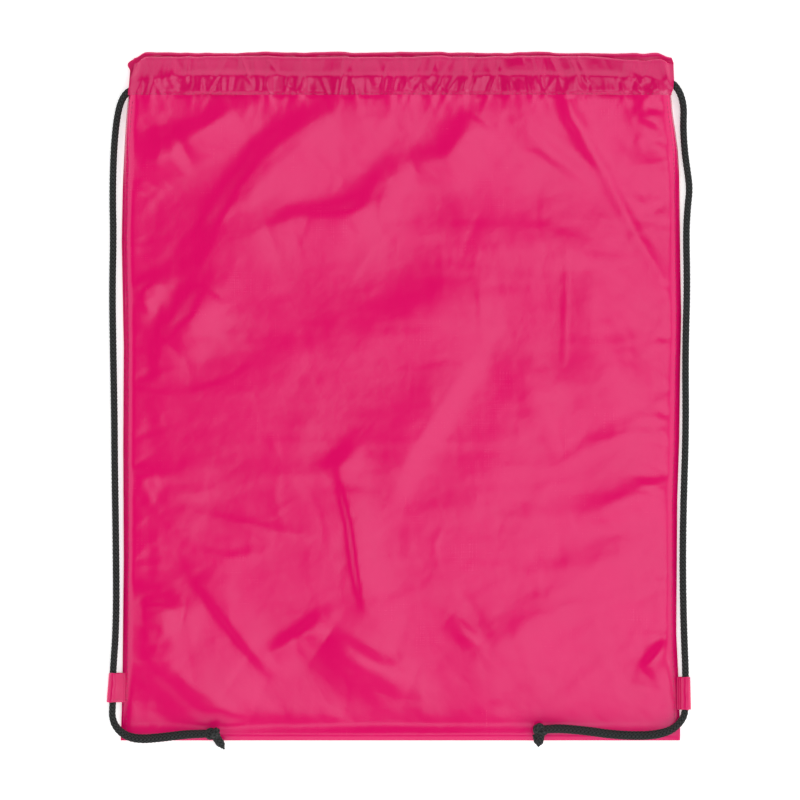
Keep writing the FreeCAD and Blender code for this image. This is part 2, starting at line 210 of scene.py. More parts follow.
# The back casing's left end, whose corner stands out past the front one's.
BACK_LEFT_EDGE = (
    (0.2110, -0.1602), (0.2085, -0.1622), (0.2065, -0.1652), (0.2045, -0.1656), (0.2010, -0.1640),
    (0.1830, -0.1652),
)


def edge_x(edge: tuple, y: np.ndarray) -> np.ndarray:
    """The side edge's x at each y, a little wider where the bag lies on the floor.

    Args:
        edge: Points of a side edge, as (y, x).
        y: Places along the bag, in metres.

    Returns:
        The edge's x at each place.
    """
    stations = np.array(edge)[::-1]
    spread = 1 + FLOOR_SPREAD * (1 - smooth_step(0.120, 0.180, y))
    return np.interp(y, stations[:, 0], stations[:, 1]) * spread


@dataclass(frozen=True)
class Fold:
    """A ridge along a line of points, in millimetres, steeper on the line's right-hand side."""

    line: tuple
    height: float
    right: float
    left: float

    def lift(self, x: np.ndarray, y: np.ndarray) -> np.ndarray:
        """How far the fold raises the cloth.

        Args:
            x: Places across the bag, in metres.
            y: Places along the bag, in metres.

        Returns:
            The lift at each place, in metres.
        """
        points = np.array(self.line) * MM
        low, high = points.min(0), points.max(0)
        reach = 2.6 * max(self.right, self.left) * MM
        shift = np.zeros(x.shape)
        close = (x > low[0] - reach) & (x < high[0] + reach)
        close &= (y > low[1] - reach) & (y < high[1] + reach)
        px, py = x[close], y[close]
        near = np.full(px.shape, FAR_AWAY)
        side = np.zeros(px.shape)
        share = np.zeros(px.shape)
        spans = len(points) - 1
        for number, ((ax, ay), (bx, by)) in enumerate(zip(points, points[1:])):
            dx, dy = bx - ax, by - ay
            squared = dx * dx + dy * dy
            along = np.clip(((px - ax) * dx + (py - ay) * dy) / squared, 0, 1)
            away = np.hypot(px - ax - along * dx, py - ay - along * dy)
            closer = away < near
            near = np.where(closer, away, near)
            across = ((px - ax) * dy - (py - ay) * dx) / math.sqrt(squared)
            side = np.where(closer, across, side)
            share = np.where(closer, (number + along) / spans, share)
        turn = smooth_step(-1, 1, side / np.maximum(near, 1e-6))
        width = (self.left + (self.right - self.left) * turn) * MM
        fade = np.sin(np.pi * np.clip(share, 0.03, 0.97)) ** 0.5
        shift[close] = self.height * MM * fade * np.exp(-(near / width) ** 2)
        return shift


# Broad folds of the front panel and its casing: a line of points, height, and width to each side.
BROAD_FOLDS = (
    Fold(((-36.8, 174), (-61.9, 160), (-81.1, 144.4), (-94.8, 128), (-104.8, 110.6), (-113, 90.5),
          (-122, 72)), 2.7, 9, 30),
    Fold(((-114.4, 66), (-125.9, 48), (-141.8, 31)), 2.6, 7.5, 16),
    Fold(((-146, 70.6), (-156.9, 60.8), (-168, 56.2)), 2, 6, 10),
    Fold(((-16, 116), (-30, 109.5), (-47, 107.5), (-63, 107.5), (-82, 100)), 2.1, 8, 20),
    Fold(((5, 145), (-8, 132), (-20, 116), (-33, 104)), 1.3, 9, 16),
    Fold(((49, 171), (40.9, 159.9), (29.4, 145.3), (7, 139)), 2.2, 9, 14),
    Fold(((64, 70), (31.7, 62.2), (4.3, 48.5), (-25.4, 36.6), (-60, 28)), 1.2, 14, 24),
    Fold(((118, 82), (88.8, 94), (61.4, 94.1), (43, 101)), 1.6, 13, 16),
    Fold(((-130, 151), (-148.7, 143), (-169, 138.4)), 2.8, 12, 12),
    Fold(((-99, 174), (-119, 162.6), (-137, 156)), 1.9, 7, 12),
    Fold(((-146, -48), (-168, -54)), 1.3, 5, 8),
    Fold(((-131, -133), (-148.7, -129.5), (-167, -121)), 2.6, 9, 12),
    Fold(((-173, -150), (-150, -158), (-130, -172), (-113, -189), (-88, -199)), 3.6, 15, 28),
    Fold(((50, 33), (24.9, -5.4), (6.6, -32.8), (-8, -64)), 1.7, 28, 9),
    Fold(((55, 35), (79.7, 3.7), (102, -38)), 1, 10, 10),
    Fold(((113.9, 80), (116.2, 44.8), (129.9, 17.4), (145, -8)), 2, 24, 14),
    Fold(((-36, -48), (-29, -78.5), (-25.4, -105.9), (-22, -124)), 1.7, 2.4, 14),
    Fold(((9, -176), (-20.8, -163), (-45, -146)), 2.7, 9, 15),
    Fold(((-44, -134), (-61.9, -147), (-79, -158)), 1.5, 5, 9),
    Fold(((166, -54), (139.1, -63.9), (105, -76)), 1.3, 9, 10),
    Fold(((156, -23), (137, -25), (115, -29)), 0.5, 4, 6),
    Fold(((169, -146), (159, -157), (148, -168)), 2, 4.5, 9),
    Fold(((49, -152), (40, -143), (30, -134)), 1.1, 4, 7),
    Fold(((-125, -108), (-100.7, -140.2), (-80, -166)), 1.5, 4.5, 12),
    Fold(((-24, -29), (-33, -38), (-46, -47)), 1.1, 6, 9),
    Fold(((-60, -85), (-89.3, -79), (-130, -70)), 0.5, 3, 6),
    Fold(((-84, -95), (-105, -99), (-128, -92)), 0.45, 3, 6),
    Fold(((101, 180.3), (128.4, 128.5), (164.9, 61.5)), 0.8, 5, 4),
    Fold(((73.6, 165), (97.9, 143.7), (123.5, 124.2)), 0.6, 5, 5),
    Fold(((101.8, 86), (101.2, 52), (100.4, 20)), 0.2, 1.5, 1.5),
    Fold(((49.2, 79.8), (49.8, 40.2)), 0.2, 1.5, 1.5),
    Fold(((163.7, 190), (152.7, 196.1), (141.8, 197.3)), 0.8, 3.5, 3),
    Fold(((163.7, 188.8), (154, 185.1), (146.6, 173)), 0.8, 3.5, 3),
    Fold(((101.6, 181.5), (105.2, 169.3), (116.2, 149.8)), 1.2, 6, 9),
    Fold(((168.6, 163.2), (155.8, 169.3), (146.6, 173)), 1.2, 4, 8),
    Fold(((168.6, 143.7), (155.8, 149.8), (141.8, 155.9)), 1.1, 6, 8),
    Fold(((100, -118), (70, -150), (40, -178)), 0.9, 14, 14),
    Fold(((150, -90), (120, -104), (85, -108)), 0.8, 12, 12),
)

# Heights along the side seams where creases fan out of the stitching.
RIGHT_PUCKERS = (
    0.174, 0.162, 0.144, 0.121, 0.104, 0.064, 0.036, 0.004, -0.016, -0.030, -0.050, -0.063, -0.112,
    -0.146, -0.182,
)
LEFT_PUCKERS = (
    0.160, 0.128, 0.092, 0.058, 0.032, 0.007, -0.027, -0.048, -0.084, -0.104, -0.132, -0.160, -0.186,
)

# The casing's pleats: lowest and highest place above the stitches, and spacing, in millimetres.
PLEATS = ((-4, 12, 3.6), (9, 28, 4.4), (-3, 26, 8.5))
CREASE_COUNT = 150


class ClothLie:
    """How the front of the bag lies: its height at any place."""

    seam_ridge: float = 0.15 * MM
    seam_groove: float = 0.14 * MM
    cord_line_y: float = 0.1902
    cord_reach: float = 4.4 * MM
    cord_level: float = 12.75 * MM
    cord_drop: float = 4.9 * MM
    cord_level_end_x: float = 0.125
    cord_end_x: float = 0.1653
    cord_thickness: float = 1.9 * MM
    least_height: float = 0.9 * MM

    def __init__(self) -> None:
        """Draw the random creases once."""
        self.coarse = Noise(3)
        self.middle = Noise(8)
        self.fine = Noise(21)
        draw = np.random.default_rng(77)
        self.creases = []
        for _ in range(CREASE_COUNT):
            start = np.array([draw.uniform(-0.16, 0.16), draw.uniform(-0.20, 0.175)])
            angle = draw.choice([0.0, math.pi / 2, draw.uniform(0, math.pi)]) + draw.normal(0, 0.16)
            length = draw.uniform(0.010, 0.046)
            turn = draw.normal(0, 0.4)
            middle = start + length / 2 * np.array([math.cos(angle), math.sin(angle)])
            end = middle + length / 2 * np.array([math.cos(angle + turn), math.sin(angle + turn)])
            height = draw.choice([-1, 1]) * draw.uniform(0.03, 0.15)
            line = tuple(tuple(p / MM) for p in (start, middle, end))
            width = draw.uniform(1.2, 2.6)
            self.creases.append(Fold(line, height, width, 1.8 * width))
        for places, edge, way in ((RIGHT_PUCKERS, RIGHT_EDGE, -1), (LEFT_PUCKERS, LEFT_EDGE, 1)):
            for y in places:
                x = float(edge_x(edge, np.array(y)))
                for spread in (-0.35, 0.1, 0.5):
                    reach = draw.uniform(0.010, 0.034)
                    slope = spread + draw.normal(0, 0.15)
                    end = ((x + way * reach) / MM, (y + reach * slope) / MM)
                    height = draw.choice([-1, 1]) * draw.uniform(0.1, 0.32)
                    width = draw.uniform(1.4, 2.4)
                    self.creases.append(Fold(((x / MM, y / MM), end), height, width, 1.5 * width))
        self.gathers = []
        for low_end, high_end, spacing in PLEATS:
            place = -168.0
            while place < 170:
                self.gathers.append((place * MM, draw.normal(0, 0.30), draw.uniform(1.0, 2.6) * MM,
                                     draw.uniform(-0.55, 0.95) * MM, (low_end + draw.uniform(-3, 3)) * MM,
                                     (high_end + draw.uniform(-4, 3)) * MM))
                place += spacing * draw.uniform(0.5, 1.5)

    def loft(self, x: np.ndarray, y: np.ndarray) -> np.ndarray:
        """Height of the smooth pillow that the folds lie on.

        Args:
            x: Places across the bag, in metres.
            y: Places along the bag, in metres.

        Returns:
            The height at each place.
        """
        left = np.maximum(0, x - edge_x(LEFT_EDGE, y) - 1 * MM)
        right = np.maximum(0, edge_x(RIGHT_EDGE, y) - x - 1 * MM)
        bottom = np.maximum(0, y - SIZE.bottom_y)
        open_up = smooth_step(0.120, SIZE.stitch_y, y)
        side_floor = SIZE.seam_z + 7.4 * MM * open_up
        rise = self.flank(left, 2.0 * MM, 90 * MM, 0.55) * self.flank(right, 2.4 * MM, 60 * MM, 0.45)
        low = 0.10 + 0.90 * (1 - np.exp(-np.maximum(0, bottom - 10 * MM) / 0.050))
        low += 0.11 * bump_at(bottom, 3.5 * MM, 3.5 * MM)
        top = SIZE.loft + (SIZE.hinge_z - 0.3 * MM - SIZE.loft) * open_up
        return side_floor + (top - side_floor) * rise * low

    def flank(self, away: np.ndarray, steep: float, gentle: float, share: float) -> np.ndarray:
        """Share of the loft reached at a distance from an edge: steep at first, then gentle."""
        return share * (1 - np.exp(-(away / steep) ** 1.5)) + (1 - share) * (1 - np.exp(-away / gentle))

    def seams(self, x: np.ndarray, y: np.ndarray) -> np.ndarray:
        """The ridge of the turned seam allowance, and the groove of its stitches.

        Args:
            x: Places across the bag, in metres.
            y: Places along the bag, in metres.

        Returns:
            The lift at each place.
        """
        shift = np.zeros(x.shape)
        for away in (x - edge_x(LEFT_EDGE, y), edge_x(RIGHT_EDGE, y) - x):
            shift += self.seam_ridge * bump_at(away, 1.4 * MM, 1.3 * MM)
            shift -= self.seam_groove * bump_at(away, 3.1 * MM, 1.0 * MM)
        return shift

    def gather(self, x: np.ndarray, y: np.ndarray) -> np.ndarray:
        """Wrinkles of the gathered casing, which run out into the panel below its stitches.

        Args:
            x: Places across the bag, in metres.
            y: Places along the bag, in metres.

        Returns:
            The lift at each place.
        """
        above = y - SIZE.stitch_y
        shift = np.zeros(x.shape)
        for place, slant, width, height, low, high in self.gathers:
            strength = smooth_step(low - 4 * MM, low + 4 * MM, above)
            strength = strength * (1 - smooth_step(high - 5 * MM, high + 4 * MM, above))
            if low < 0:
                run_out = 0.5 * np.exp(np.minimum(0, above) / (7 * MM))
                strength = np.where(above < 0, run_out, np.maximum(strength, 0.5 * (above < 0.004)))
            shift += height * strength * np.exp(-(np.abs(x - place - slant * above) / width) ** 1.4)
        casing = smooth_step(-2 * MM, 4 * MM, above)
        shift += 0.8 * MM * casing * self.middle(x / (10 * MM), y / (14 * MM))
        shift -= 0.22 * MM * bump_at(above, 0.3 * MM, 1.1 * MM)
        return shift

    def bulge(self, above: np.ndarray) -> np.ndarray:
        """The tunnel's round back, which falls away to the rim.

        Args:
            above: Distances above the stitches, in metres.

        Returns:
            The lift at each place.
        """
        share = np.clip(above / (SIZE.front_rim_y - SIZE.stitch_y), 0, 1)
        fall = np.clip((share - 0.42) / 0.58, 0, 1) ** 1.2
        return 0.3 * MM * np.sin(math.pi * share) - 4.4 * MM * fall

    def cord_top(self, x: np.ndarray) -> np.ndarray:
        """Height of the top of the cords in the front casing.

        Args:
            x: Places across the bag, in metres.

        Returns:
            The height at each place.
        """
        away = np.abs(x - SIZE.middle_x) - self.cord_level_end_x
        fall = np.clip(away / (self.cord_end_x - self.cord_level_end_x), 0, 1)
        return self.cord_level - self.cord_drop * fall

    def past_cords(self, y: np.ndarray) -> np.ndarray:
        """How far the cloth falls or rises beside the cords, past their two edges.

        Args:
            y: Places along the bag, in metres.

        Returns:
            The fall or rise that is left at each place.
        """
        away = np.maximum(0, np.abs(y - self.cord_line_y) - self.cord_reach)
        rounding = 2.0 * MM
        return 1.3 * (np.hypot(away, rounding) - rounding)

    def over_cords(self, x: np.ndarray, y: np.ndarray) -> np.ndarray:
        """The lowest that the casing can lie over the cords in its tunnel."""
        return self.cord_top(x) + 0.42 * MM - self.past_cords(y)

    def under_cords(self, x: np.ndarray, y: np.ndarray) -> np.ndarray:
        """The highest that the casing's lower layer can lie under the cords."""
        return self.cord_top(x) - (self.cord_thickness + 0.6 * MM) + self.past_cords(y)

    def crumple(self, x: np.ndarray, y: np.ndarray) -> np.ndarray:
        """Small creases and soft unevenness all over the panel.

        Args:
            x: Places across the bag, in metres.
            y: Places along the bag, in metres.

        Returns:
            The lift at each place.
        """
        warp_x = x + 9 * MM * self.coarse(x / 0.05, y / 0.05)
        warp_y = y + 9 * MM * self.coarse(x / 0.05 + 9, y / 0.05 + 5)
        turned_x, turned_y = 0.8 * warp_x - 0.6 * warp_y, 0.6 * warp_x + 0.8 * warp_y
        shift = 0.50 * MM * self.coarse(turned_x / 0.034, turned_y / 0.046)
        shift += 0.15 * MM * self.middle(turned_y / 0.015, turned_x / 0.022)
        shift += 0.03 * MM * self.fine(warp_x / 0.0055, warp_y / 0.009)
        return shift

    def folds(self, x: np.ndarray, y: np.ndarray) -> np.ndarray:
        """The broad folds, kept off the seams."""
        return sum(fold.lift(x, y) for fold in BROAD_FOLDS) * self.inside(x, y, 14 * MM)

    def inside(self, x: np.ndarray, y: np.ndarray, reach: float) -> np.ndarray:
        """0 at the sewn and folded edges, 1 once past reach from them.

        Args:
            x: Places across the bag, in metres.
            y: Places along the bag, in metres.
            reach: Distance from an edge at which the cloth is free.

        Returns:
            The share at each place.
        """
        away = np.minimum(x - edge_x(LEFT_EDGE, y), edge_x(RIGHT_EDGE, y) - x)
        side = 0.25 + 0.75 * smooth_step(0, reach, away)
        bottom = smooth_step(2 * MM, reach + 6 * MM, y - SIZE.bottom_y)
        return side * bottom

    def height(self, x: np.ndarray, y: np.ndarray, settled: np.ndarray | None = None) -> np.ndarray:
        """Height of the front of the bag.

        Args:
            x: Places across the bag, in metres.
            y: Places along the bag, in metres.
            settled: Height of the broad shape if a simulation has made it.

        Returns:
            The height of the cloth's upper face, in metres.
        """
        broad = self.loft(x, y) + self.folds(x, y) if settled is None else settled
        small = sum(crease.lift(x, y) for crease in self.creases)
        edge = self.inside(x, y, 10 * MM)
        pleats = self.gather(x, y)
        above = y - SIZE.stitch_y
        base = broad + (self.crumple(x, y) + small) * edge + self.bulge(above)
        soft = 0.35 * MM
        least = self.over_cords(x, y) + 0.4 * MM
        base = np.where(above > 0, soft * np.logaddexp(base / soft, least / soft), base)
        shape = base + np.maximum(pleats, -0.45 * MM) + self.seams(x, y)
        return np.maximum(shape, self.least_height)


LIE = ClothLie()


# ---------------------------------------------------------------- shader building

class Value:
    """A shader socket with arithmetic: each operation adds its Math node."""

    def __init__(self, shader: "Shader", socket: bpy.types.NodeSocket) -> None:
        """Wrap a socket of a shader."""
        self.shader = shader
        self.socket = socket

    def _math(self, operation: str, *values: object) -> "Value":
        """Add a Math node for the operation on values."""
        return self.shader.node("ShaderNodeMath", {"operation": operation}, dict(enumerate(values)))

    def __add__(self, other: object) -> "Value":
        """Sum."""
        return self._math("ADD", self, other)

    def __radd__(self, other: object) -> "Value":
        """Sum, number first."""
        return self._math("ADD", other, self)

    def __sub__(self, other: object) -> "Value":
        """Difference."""
        return self._math("SUBTRACT", self, other)

    def __rsub__(self, other: object) -> "Value":
        """Difference, number first."""
        return self._math("SUBTRACT", other, self)

    def __mul__(self, other: object) -> "Value":
        """Product."""
        return self._math("MULTIPLY", self, other)

    def __rmul__(self, other: object) -> "Value":
        """Product, number first."""
        return self._math("MULTIPLY", other, self)

    def sine(self) -> "Value":
        """Sine, of radians."""
        return self._math("SINE", self)

    def clamp(self, low: float, high: float) -> "Value":
        """The value, kept from low to high."""
        return self._math("MAXIMUM", self._math("MINIMUM", self, high), low)


class Nodes:
    """A node tree that nodes are added to."""

    def __init__(self, tree: bpy.types.NodeTree) -> None:
        """Take the tree."""
        self.tree = tree

    def node(self, kind: str, settings: dict, inputs: dict, output: int | str = 0) -> Value:
        """Add any node.

        Args:
            kind: The node's type.
            settings: Properties set before its sockets, or ramp stops under "stops".
            inputs: Values or links, by socket name or number.
            output: Which output to return.

        Returns:
            The chosen output.
        """
        made = self.tree.nodes.new(kind)
        for key, value in settings.items():
            if key == "stops":
                ramp = made.color_ramp
                while len(ramp.elements) < len(value):
                    ramp.elements.new(0.5)
                for element, (place, colour) in zip(ramp.elements, value):
                    element.position = place
                    element.color = colour
            else:
                setattr(made, key, value)
        for key, value in inputs.items():
            if isinstance(value, Value):
                self.tree.links.new(value.socket, made.inputs[key])
            else:
                made.inputs[key].default_value = value
        return Value(self, made.outputs[output])


class Shader(Nodes):
    """One material and the nodes that make it."""

    def __init__(self, name: str) -> None:
        """Start an empty material.

        Args:
            name: The material's name.
        """
        self.material = bpy.data.materials.new(name)
        self.material.use_nodes = True
        super().__init__(self.material.node_tree)
        self.tree.nodes.clear()
        self.surface = self.tree.nodes.new("ShaderNodeBsdfPrincipled")
        output = self.tree.nodes.new("ShaderNodeOutputMaterial")
        self.tree.links.new(self.surface.outputs[0], output.inputs[0])

    def mix(self, share: object, first: object, second: object) -> Value:
        """Mix two colours by a share."""
        inputs = {0: share, 6: first, 7: second}
        return self.node("ShaderNodeMix", {"data_type": "RGBA"}, inputs, 2)

    def place(self, scale: tuple = (1, 1, 1)) -> Value:
        """Object coordinates, scaled."""
        where = self.node("ShaderNodeTexCoord", {}, {}, "Object")
        return self.node("ShaderNodeMapping", {}, {"Vector": where, "Scale": scale})

    def noise(self, scale: float, detail: float, stretch: tuple = (1, 1, 1)) -> Value:
        """Noise over the piece, with the pattern's stretch as a scale on each axis."""
        inputs = {"Vector": self.place(stretch), "Scale": scale, "Detail": detail}
        return self.node("ShaderNodeTexNoise", {}, inputs, "Fac")

    def feed(self, socket: str, value: object) -> None:
        """Set or link one of the surface's sockets.

        Args:
            socket: The socket's name.
            value: A constant, or a value to link.
        """
        if isinstance(value, Value):
            self.tree.links.new(value.socket, self.surface.inputs[socket])
        else:
            self.surface.inputs[socket].default_value = value

    def bump(self, height: Value, distance: float, strength: float = 1.0,
             under: Value | None = None) -> Value:
        """A normal from a height field.

        Args:
            height: The height, from 0 to 1.
            distance: What a height of 1 stands for, in metres.
            strength: How much of it is used.
            under: A normal that this one goes on top of.

        Returns:
            The normal.
        """
        inputs = {"Height": height, "Distance": distance, "Strength": strength}
        if under is not None:
            inputs["Normal"] = under
        return self.node("ShaderNodeBump", {}, inputs)


@dataclass(frozen=True)
class ClothFinish:
    """Thin plain-weave polyester."""

    name: str
    colour: tuple
    deep_colour: tuple
    roughness: float = 0.25
    thread_pitch: float = 0.42 * MM

    def build(self) -> bpy.types.Material:
        """Make the material: weave, slubs, uneven dye and fine crumple lines.

        Returns:
            The material.
        """
        shader = Shader(self.name)
        turn = 2 * math.pi / self.thread_pitch
        where = shader.node("ShaderNodeTexCoord", {}, {}, "Object")
        x = shader.node("ShaderNodeSeparateXYZ", {}, {0: where}, 0)
        y = shader.node("ShaderNodeSeparateXYZ", {}, {0: where}, 1)
        weave = (x * turn).sine() * (y * turn).sine() * 0.5 + 0.5
        upright = shader.noise(1.0, 3.0, (1900, 38, 200))
        level = shader.noise(1.0, 3.0, (38, 1700, 200))
        slubs = (upright + level) * 0.5
        patches = shader.noise(26.0, 4.0)
        lines = shader.node("ShaderNodeTexVoronoi", {"feature": "DISTANCE_TO_EDGE"},
                            {"Vector": shader.place((1, 1, 0.2)), "Scale": 34.0}, 0)
        crease = (lines * 14.0).clamp(0, 1)
        shade = shader.mix((patches * 1.6 - 0.3).clamp(0, 1), self.deep_colour, self.colour)
        bright = tuple(min(1, c * 1.12) for c in self.colour[:3]) + (1,)
        threads = shader.mix((slubs * 1.8 - 0.4).clamp(0, 1) * 0.14, shade, bright)
        shader.feed("Base Color", shader.mix((1 - weave) * 0.12, threads, self.deep_colour))
        roughness = self.roughness + (slubs - 0.5) * 0.12 + (patches - 0.5) * 0.08
        shader.feed("Roughness", roughness.clamp(0.2, 0.8))
        wrinkles = shader.noise(240.0, 5.0, (1, 1, 0.4))
        coarse = shader.bump(patches + wrinkles * 0.10 + crease * 0.03, 0.9 * MM, 0.5)
        thread_bump = shader.bump(weave * 0.6 + slubs * 0.8, 0.006 * MM, 0.6, coarse)
        shader.feed("Normal", thread_bump)
        shader.feed("Specular IOR Level", 0.5)
        shader.feed("Specular Tint", (0.82, 0.80, 1.0, 1))
        return shader.material


@dataclass(frozen=True)
class CordFinish:
    """Soft black polyester braid, with a painted highlight along the crowns of its plaits."""

    name: str = "black_braid"

    def build(self) -> bpy.types.Material:
        """Make the material: a painted highlight on the plaits' crowns, taken from the braid's own relief,
        with random fibre tone.

        Returns:
            The material.
        """
        shader = Shader(self.name)
        relief = shader.node("ShaderNodeAttribute", {"attribute_name": "relief"}, {}, 2)
        fibres = shader.noise(1400.0, 3.0)
        # The relief paints the plaits' crowns in the lighter colour, a painted highlight; the fibre noise
        # adds random tone.
        crown_highlight_and_fibre_tone = (relief * 1.5 - 0.55 + (fibres - 0.5) * 0.4).clamp(0, 1)
        shader.feed("Base Color", shader.mix(crown_highlight_and_fibre_tone, (0.0008, 0.0009, 0.0009, 1), (0.042, 0.045, 0.045, 1)))
        shader.feed("Roughness", (0.60 - crown_highlight_and_fibre_tone * 0.20).clamp(0.3, 0.8))
        shader.feed("Normal", shader.bump(fibres, 0.08 * MM, 0.6))
        shader.feed("Specular IOR Level", 0.18)
        return shader.material


@dataclass(frozen=True)
class ThreadFinish:
    """Twisted sewing thread, dyed to the cloth."""

    name: str = "pink_thread"

    def build(self) -> bpy.types.Material:
        """Make the material, with the twist as fine bands.

        Returns:
            The material.
        """
        shader = Shader(self.name)
        twist = shader.noise(2600.0, 2.0)
        shader.feed("Base Color", shader.mix(twist, (0.26, 0.002, 0.05, 1), (0.56, 0.008, 0.11, 1)))
        shader.feed("Roughness", (0.35 + twist * 0.3).clamp(0.2, 0.8))
        shader.feed("Normal", shader.bump(twist, 0.06 * MM, 0.8))
        return shader.material


@dataclass(frozen=True)
class FloorFinish:
    """Pale, matt paper."""

    name: str = "studio_paper"

    def build(self) -> bpy.types.Material:
        """Make the material.

        Returns:
            The material.
        """
        shader = Shader(self.name)
        grain = shader.noise(60.0, 2.0)
        shader.feed("Base Color", shader.mix(grain, (0.90, 0.90, 0.90, 1), (0.93, 0.93, 0.93, 1)))
        shader.feed("Roughness", 0.9)
        shader.feed("Specular IOR Level", 0.0)
        shader.feed("Emission Color", (1, 1, 1, 1))
        shader.feed("Emission Strength", 0.45)
        return shader.material


class Finish(Enum):
    """The finishes that pieces are dressed in."""

    PANEL = ClothFinish("panel_cloth", (0.74, 0.0012, 0.126, 1), (0.69, 0.0008, 0.112, 1))
    # The casing is the panel's cloth; its darker colours are painted shade.
    CASING = ClothFinish("casing_cloth", (0.645, 0.0014, 0.108, 1), (0.54, 0.0008, 0.082, 1))
    TAB = ClothFinish("tab_cloth", (0.70, 0.0025, 0.120, 1), (0.60, 0.0010, 0.090, 1))
    CORD = CordFinish()
    THREAD = ThreadFinish()
    FLOOR = FloorFinish()


MATERIALS: dict = {}


def dress(piece: bpy.types.Object, finish: Finish) -> None:
    """Give a piece a finish, made once and shared.

    Args:
        piece: The piece.
        finish: The finish.
    """
    if finish not in MATERIALS:
        MATERIALS[finish] = finish.value.build()
    piece.data.materials.clear()
    piece.data.materials.append(MATERIALS[finish])


# ---------------------------------------------------------------- cloth pieces

def spread(coarse: np.ndarray, rows: int, columns: int) -> np.ndarray:
    """Carry a coarse grid of values to a finer one along smooth curves.

    Args:
        coarse: An array of rows, columns and values.
        rows: Rows of the finer grid.
        columns: Columns of the finer grid.

    Returns:
        The finer array.
    """
    for axis, count in ((0, rows), (1, columns)):
        values = np.moveaxis(coarse, axis, 0)
        last = len(values) - 1
        place = np.linspace(0, last, count)
        start = np.minimum(place.astype(int), last - 1)
        t = (place - start).reshape(-1, *[1] * (values.ndim - 1))
        p0, p1, p2, p3 = (values[np.clip(start + shift, 0, last)] for shift in (-1, 0, 1, 2))
        bend = 2 * p0 - 5 * p1 + 4 * p2 - p3 + t * (3 * (p1 - p2) + p3 - p0)
        curve = p1 + 0.5 * t * (p2 - p0 + t * bend)
        coarse = np.moveaxis(curve, 0, axis)
    return coarse


